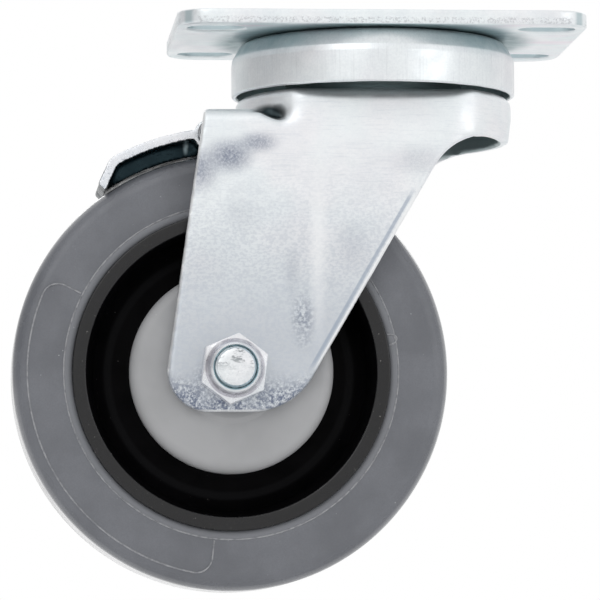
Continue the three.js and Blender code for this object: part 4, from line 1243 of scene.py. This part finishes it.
def bearing(label, side):
    circle, ball_radius, count, edge = 10.6, 1.9, 8, BEARING_WIDTH / 2
    middle = side * (BEARING_FACE - edge)
    groove = ball_radius + 0.12

    def ring(name, wall, plain, start, end, body, node):
        """A ring whose wall carries the round groove."""
        inside = [(r, middle + h) for r, h in arc((circle, 0), groove, start, end, 14)]
        outline = [(plain, middle - edge), (wall, middle - edge), *inside, (wall, middle + edge),
                   (plain, middle + edge)]
        finish(lathe(name, outline, "Y", AXLE, 144), name, BALL_STEEL, body, [node])

    gap = 1.55
    lean = math.degrees(math.acos(gap / groove))
    inner, outer = circle - gap, circle + gap
    node = f"{label}_bearing"
    ring(f"{label}_inner_ring", inner, BEARING_BORE, 180 + lean, 180 - lean, "fork", f"{node}_inner_ring")
    ring(f"{label}_outer_ring", outer, BEARING_RADIUS, -lean, lean, "wheel", f"{node}_outer_ring")

    def pockets(angle, radius, height):
        """A pressed ribbon that swells round each ball."""
        swell = 0.5 + 0.5 * math.cos(angle * count)
        return radius, middle + (height - middle) * (0.45 + 0.55 * swell)

    ribbon = rectangle(0.9, 3, 0.15, (circle, middle), 3)
    cage = lathe("cage", ribbon, "Y", AXLE, 240, pockets)
    cage.data.materials.append(FASTENER_ZINC)
    balls = [ball(ball_radius, (AXLE_X + x, middle, AXLE_Z + z)) for x, z in around(circle, count)]
    for each in balls:
        each.data.materials.append(BALL_STEEL)
    name = f"{label}_caged_balls"
    finish(joined(name, cage, *balls), name, BALL_STEEL, f"{label}_ball_cage",
           [f"{label}_bearing_ball_cage"])


# ---- Brake ---------------------------------------------------------------------------------------


def axle_arc(radius, start, end, steps):
    return arc((AXLE_X, AXLE_Z), radius, start, end, steps)


def pedal_outline():
    """The strip from the side: an arc about the axle, a tight bend and the lip."""
    outer, inner = PEDAL_ARC + PEDAL_SHEET / 2, PEDAL_ARC - PEDAL_SHEET / 2
    bend = axle_arc(outer - LIP_BEND, PEDAL_TO, PEDAL_TO, 0)[0]
    turned = PEDAL_TO + LIP_TURN
    bend_outer = arc(bend, LIP_BEND, PEDAL_TO, turned, 8)
    bend_inner = arc(bend, LIP_BEND - PEDAL_SHEET, turned, PEDAL_TO, 8)
    along = math.radians(turned + 90)
    ends = [
        (point[0] + reach * math.cos(along), point[1] + reach * math.sin(along))
        for point, reach in ((bend_outer[-1], LIP_LENGTH - 0.8), (bend_inner[0], LIP_LENGTH))
    ]
    return (axle_arc(outer, PEDAL_FROM, PEDAL_TO, 24) + bend_outer[1:] + ends + bend_inner[:-1]
            + axle_arc(inner, PEDAL_TO, PEDAL_FROM, 24))


def pedal_band(inside, outside, start, inside_end, outside_end, half_width):
    """Part of a ring about the axle, whose two arcs may end at different angles."""
    outline = axle_arc(outside, start, outside_end, 20) + axle_arc(inside, inside_end, start, 20)
    return prism(outline, "Y", -half_width, half_width)


def brake_pedal():
    edge = PEDAL_HALF_WIDTH
    tip = axle_arc(PEDAL_ARC, SHOE_TO, SHOE_TO, 0)[0][0] - 2.2
    front, corner = PIVOT_X + 10, 3.4
    plan = rectangle(front - tip, 2 * edge, corner, ((tip + front) / 2, 0))
    pedal = combine(prism(pedal_outline(), "Y", -edge, edge), "INTERSECT", prism(plan, "Z", -BEYOND, 0))
    bottom = PEDAL_ARC - PEDAL_SHEET / 2 - SHOE_DEPTH
    turn = math.degrees(PEDAL_SHEET / PEDAL_ARC)
    start, end = SHOE_FROM + turn, PEDAL_TO - turn
    shoe = pedal_band(bottom, PEDAL_ARC, SHOE_FROM, SHOE_TO, PEDAL_TO, SHOE_HALF_WIDTH)
    pocket = pedal_band(bottom + PEDAL_SHEET, PEDAL_ARC + 3, start, end, end, SHOE_HALF_WIDTH - PEDAL_SHEET)
    knuckle = rod(KNUCKLE_RADIUS, "Y", -edge, edge, PIVOT)
    bore = rod(PIN_BORE, "Y", *WHOLE, PIVOT)
    slit = block((PIVOT_X - 0.4, PIVOT_X), WHOLE, (PIVOT_Z - 4, PIVOT_Z - 1))
    combine(pedal, "UNION", knuckle, shoe)
    combine(pedal, "DIFFERENCE", pocket, bore, slit)

    def pressed(points):
        """The trough's walls, which pressing leaves more rounded than the sheet's own edges."""
        x, y, z = points.T
        reach = np.hypot(x - AXLE_X, z - AXLE_Z)
        trough = smoothstep(SHOE_HALF_WIDTH + 2.5, SHOE_HALF_WIDTH + 1, np.abs(y))
        away = smoothstep(5.5, 7, np.hypot(x - PIVOT_X, z - PIVOT_Z))
        return 0.35 * trough * away * smoothstep(bottom, bottom + 0.6, reach)

    forge(pedal, 0.4, 3, pressed, lambda point: 0.04 * grain(point, 4) + 0.012 * grain(point, 1.2, 2))
    finish(pedal, "pedal_pressing", PEDAL_ZINC, "brake_pedal", ["brake_pedal"])


def brake_pin():
    outline = [(0, pin_low.y), (PIN_RADIUS, pin_low.y), (PIN_RADIUS, pin_high.y), (0, pin_high.y)]
    pin = lathe("pin", rounded(outline, [0, 0.3, 0.3, 0], 5), "Y", PIVOT, 64)
    finish(pin, "brake_pivot_pin", FASTENER_ZINC, "fork", ["brake_pin"])


def brake_spring():
    coil, wire, turns, per_turn, pitch = 2.5, 0.5, 3, 28, 1.25
    start = -PEDAL_HALF_WIDTH - 1.2
    arm, drop, steps = 6.5, 3.2, 8
    points = []
    for k in range(steps):
        rise = float(smoothstep(0, 1, k / steps)) - 1
        points.append((PIVOT_X + arm * (1 - k / steps), start, PIVOT_Z + coil + drop * rise))
    for i in range(turns * per_turn + 1):
        angle = math.pi / 2 - FULL_TURN * i / per_turn
        y = start - pitch * i / per_turn
        points.append((PIVOT_X + coil * math.cos(angle), y, PIVOT_Z + coil * math.sin(angle)))
    spring = tube("spring", points, wire)
    finish(spring, "brake_torsion_spring", SPRING_STEEL, "fork", ["brake_spring"])


# ---- Stage ---------------------------------------------------------------------------------------
CAMERA_PLACE = (-101.5, -1101.6, -150.8)
CAMERA_YAW, CAMERA_PITCH, CAMERA_ROLL = (math.radians(d) for d in (4.36, 4.46, -0.25))
LENS, SENSOR = 281.9, 36
FLOOR_Z = -195


def camera():
    data = bpy.data.cameras.new("camera")
    data.sensor_width = SENSOR
    data.lens = LENS
    data.clip_start, data.clip_end = 0.05, 50
    cam = place("camera", data)
    flat = math.cos(CAMERA_PITCH)
    ahead = Vector((math.sin(CAMERA_YAW) * flat, math.cos(CAMERA_YAW) * flat, math.sin(CAMERA_PITCH)))
    right = Vector((math.cos(CAMERA_YAW), -math.sin(CAMERA_YAW), 0))
    up = right.cross(ahead)
    roll = Matrix.Rotation(CAMERA_ROLL, 3, -ahead)
    axes = Matrix((roll @ right, roll @ up, -ahead)).transposed()
    cam.matrix_world = Matrix.Translation(Vector(CAMERA_PLACE) * MM) @ axes.to_4x4()
    bpy.context.scene.camera = cam


def floor():
    reach = 20000
    corners = [(x * reach, y * reach, FLOOR_Z) for x, y in ((-1, -1), (1, -1), (1, 1), (-1, 1))]
    plane = make("floor", corners, [(0, 1, 2, 3)])
    paint = Paint("pale_floor", Metallic=0.0, Roughness=0.8)
    paint.color(paint.mix(paint.noise(60, detail=3), (0.90, 0.90, 0.90), (0.87, 0.87, 0.875)))
    plane.data.materials.append(paint.material)


def softbox(name, spot, size, power):
    """A rectangular light that faces the wheel and isn't seen itself."""
    data = bpy.data.lights.new(name, "AREA")
    data.shape = "RECTANGLE"
    data.size, data.size_y = (s * MM for s in size)
    data.energy = power
    light = place(name, data)
    light.location = Vector(spot) * MM
    target = Vector((AXLE_X / 2, 0, AXLE_Z / 2)) * MM
    light.rotation_euler = (target - light.location).to_track_quat("-Z", "Y").to_euler()
    light.visible_camera = False


def studio():
    """White surroundings, darker towards -X so that round metal shows its form."""
    world = bpy.data.worlds.new("studio")
    world.use_nodes = True
    tree = world.node_tree
    direction = tree.nodes.new("ShaderNodeTexCoord").outputs["Generated"]
    across = add_node(tree, "ShaderNodeSeparateXYZ", {0: direction}).outputs["X"]
    ends = {0: across, 1: -0.95, 2: -0.45, 3: 0.34, 4: 0.86}
    fade = add_node(tree, "ShaderNodeMapRange", ends, interpolation_type="SMOOTHSTEP").outputs[0]
    seen = tree.nodes.new("ShaderNodeLightPath").outputs["Is Camera Ray"]
    strength = add_node(tree, "ShaderNodeMath", {0: fade, 1: seen}, operation="MAXIMUM").outputs[0]
    background = tree.nodes["Background"]
    background.inputs["Color"].default_value = (1, 1, 1, 1)
    tree.links.new(strength, background.inputs["Strength"])
    bpy.context.scene.world = world
    bpy.context.scene.view_settings.view_transform = "Standard"
    softbox("key", (-1020, -2100, 1340), (1500, 1500), 9.9)
    softbox("fill", (1600, -1680, 350), (1200, 900), 3.0)
    softbox("back", (330, 1950, 1130), (2100, 900), 10.8)


# ---- Assembly ------------------------------------------------------------------------------------
camera()
top_plate()
raceway_cup()
kingpin()
lower_race()
ball_ring("upper_race_balls", "upper_ball", UPPER_BALL, "upper_ball_ring")
ball_ring("lower_race_balls", "lower_ball", LOWER_BALL, "lower_ball_ring")
fork()
axle_nut()
axle_bolt()
spanner_bushing()
wheel_core()
tyre()
for guard_label, guard_side in (("near", -1), ("far", 1)):
    thread_guard(guard_label, guard_side)
    bearing(guard_label, guard_side)
brake_pedal()
brake_pin()
brake_spring()
floor()
studio()
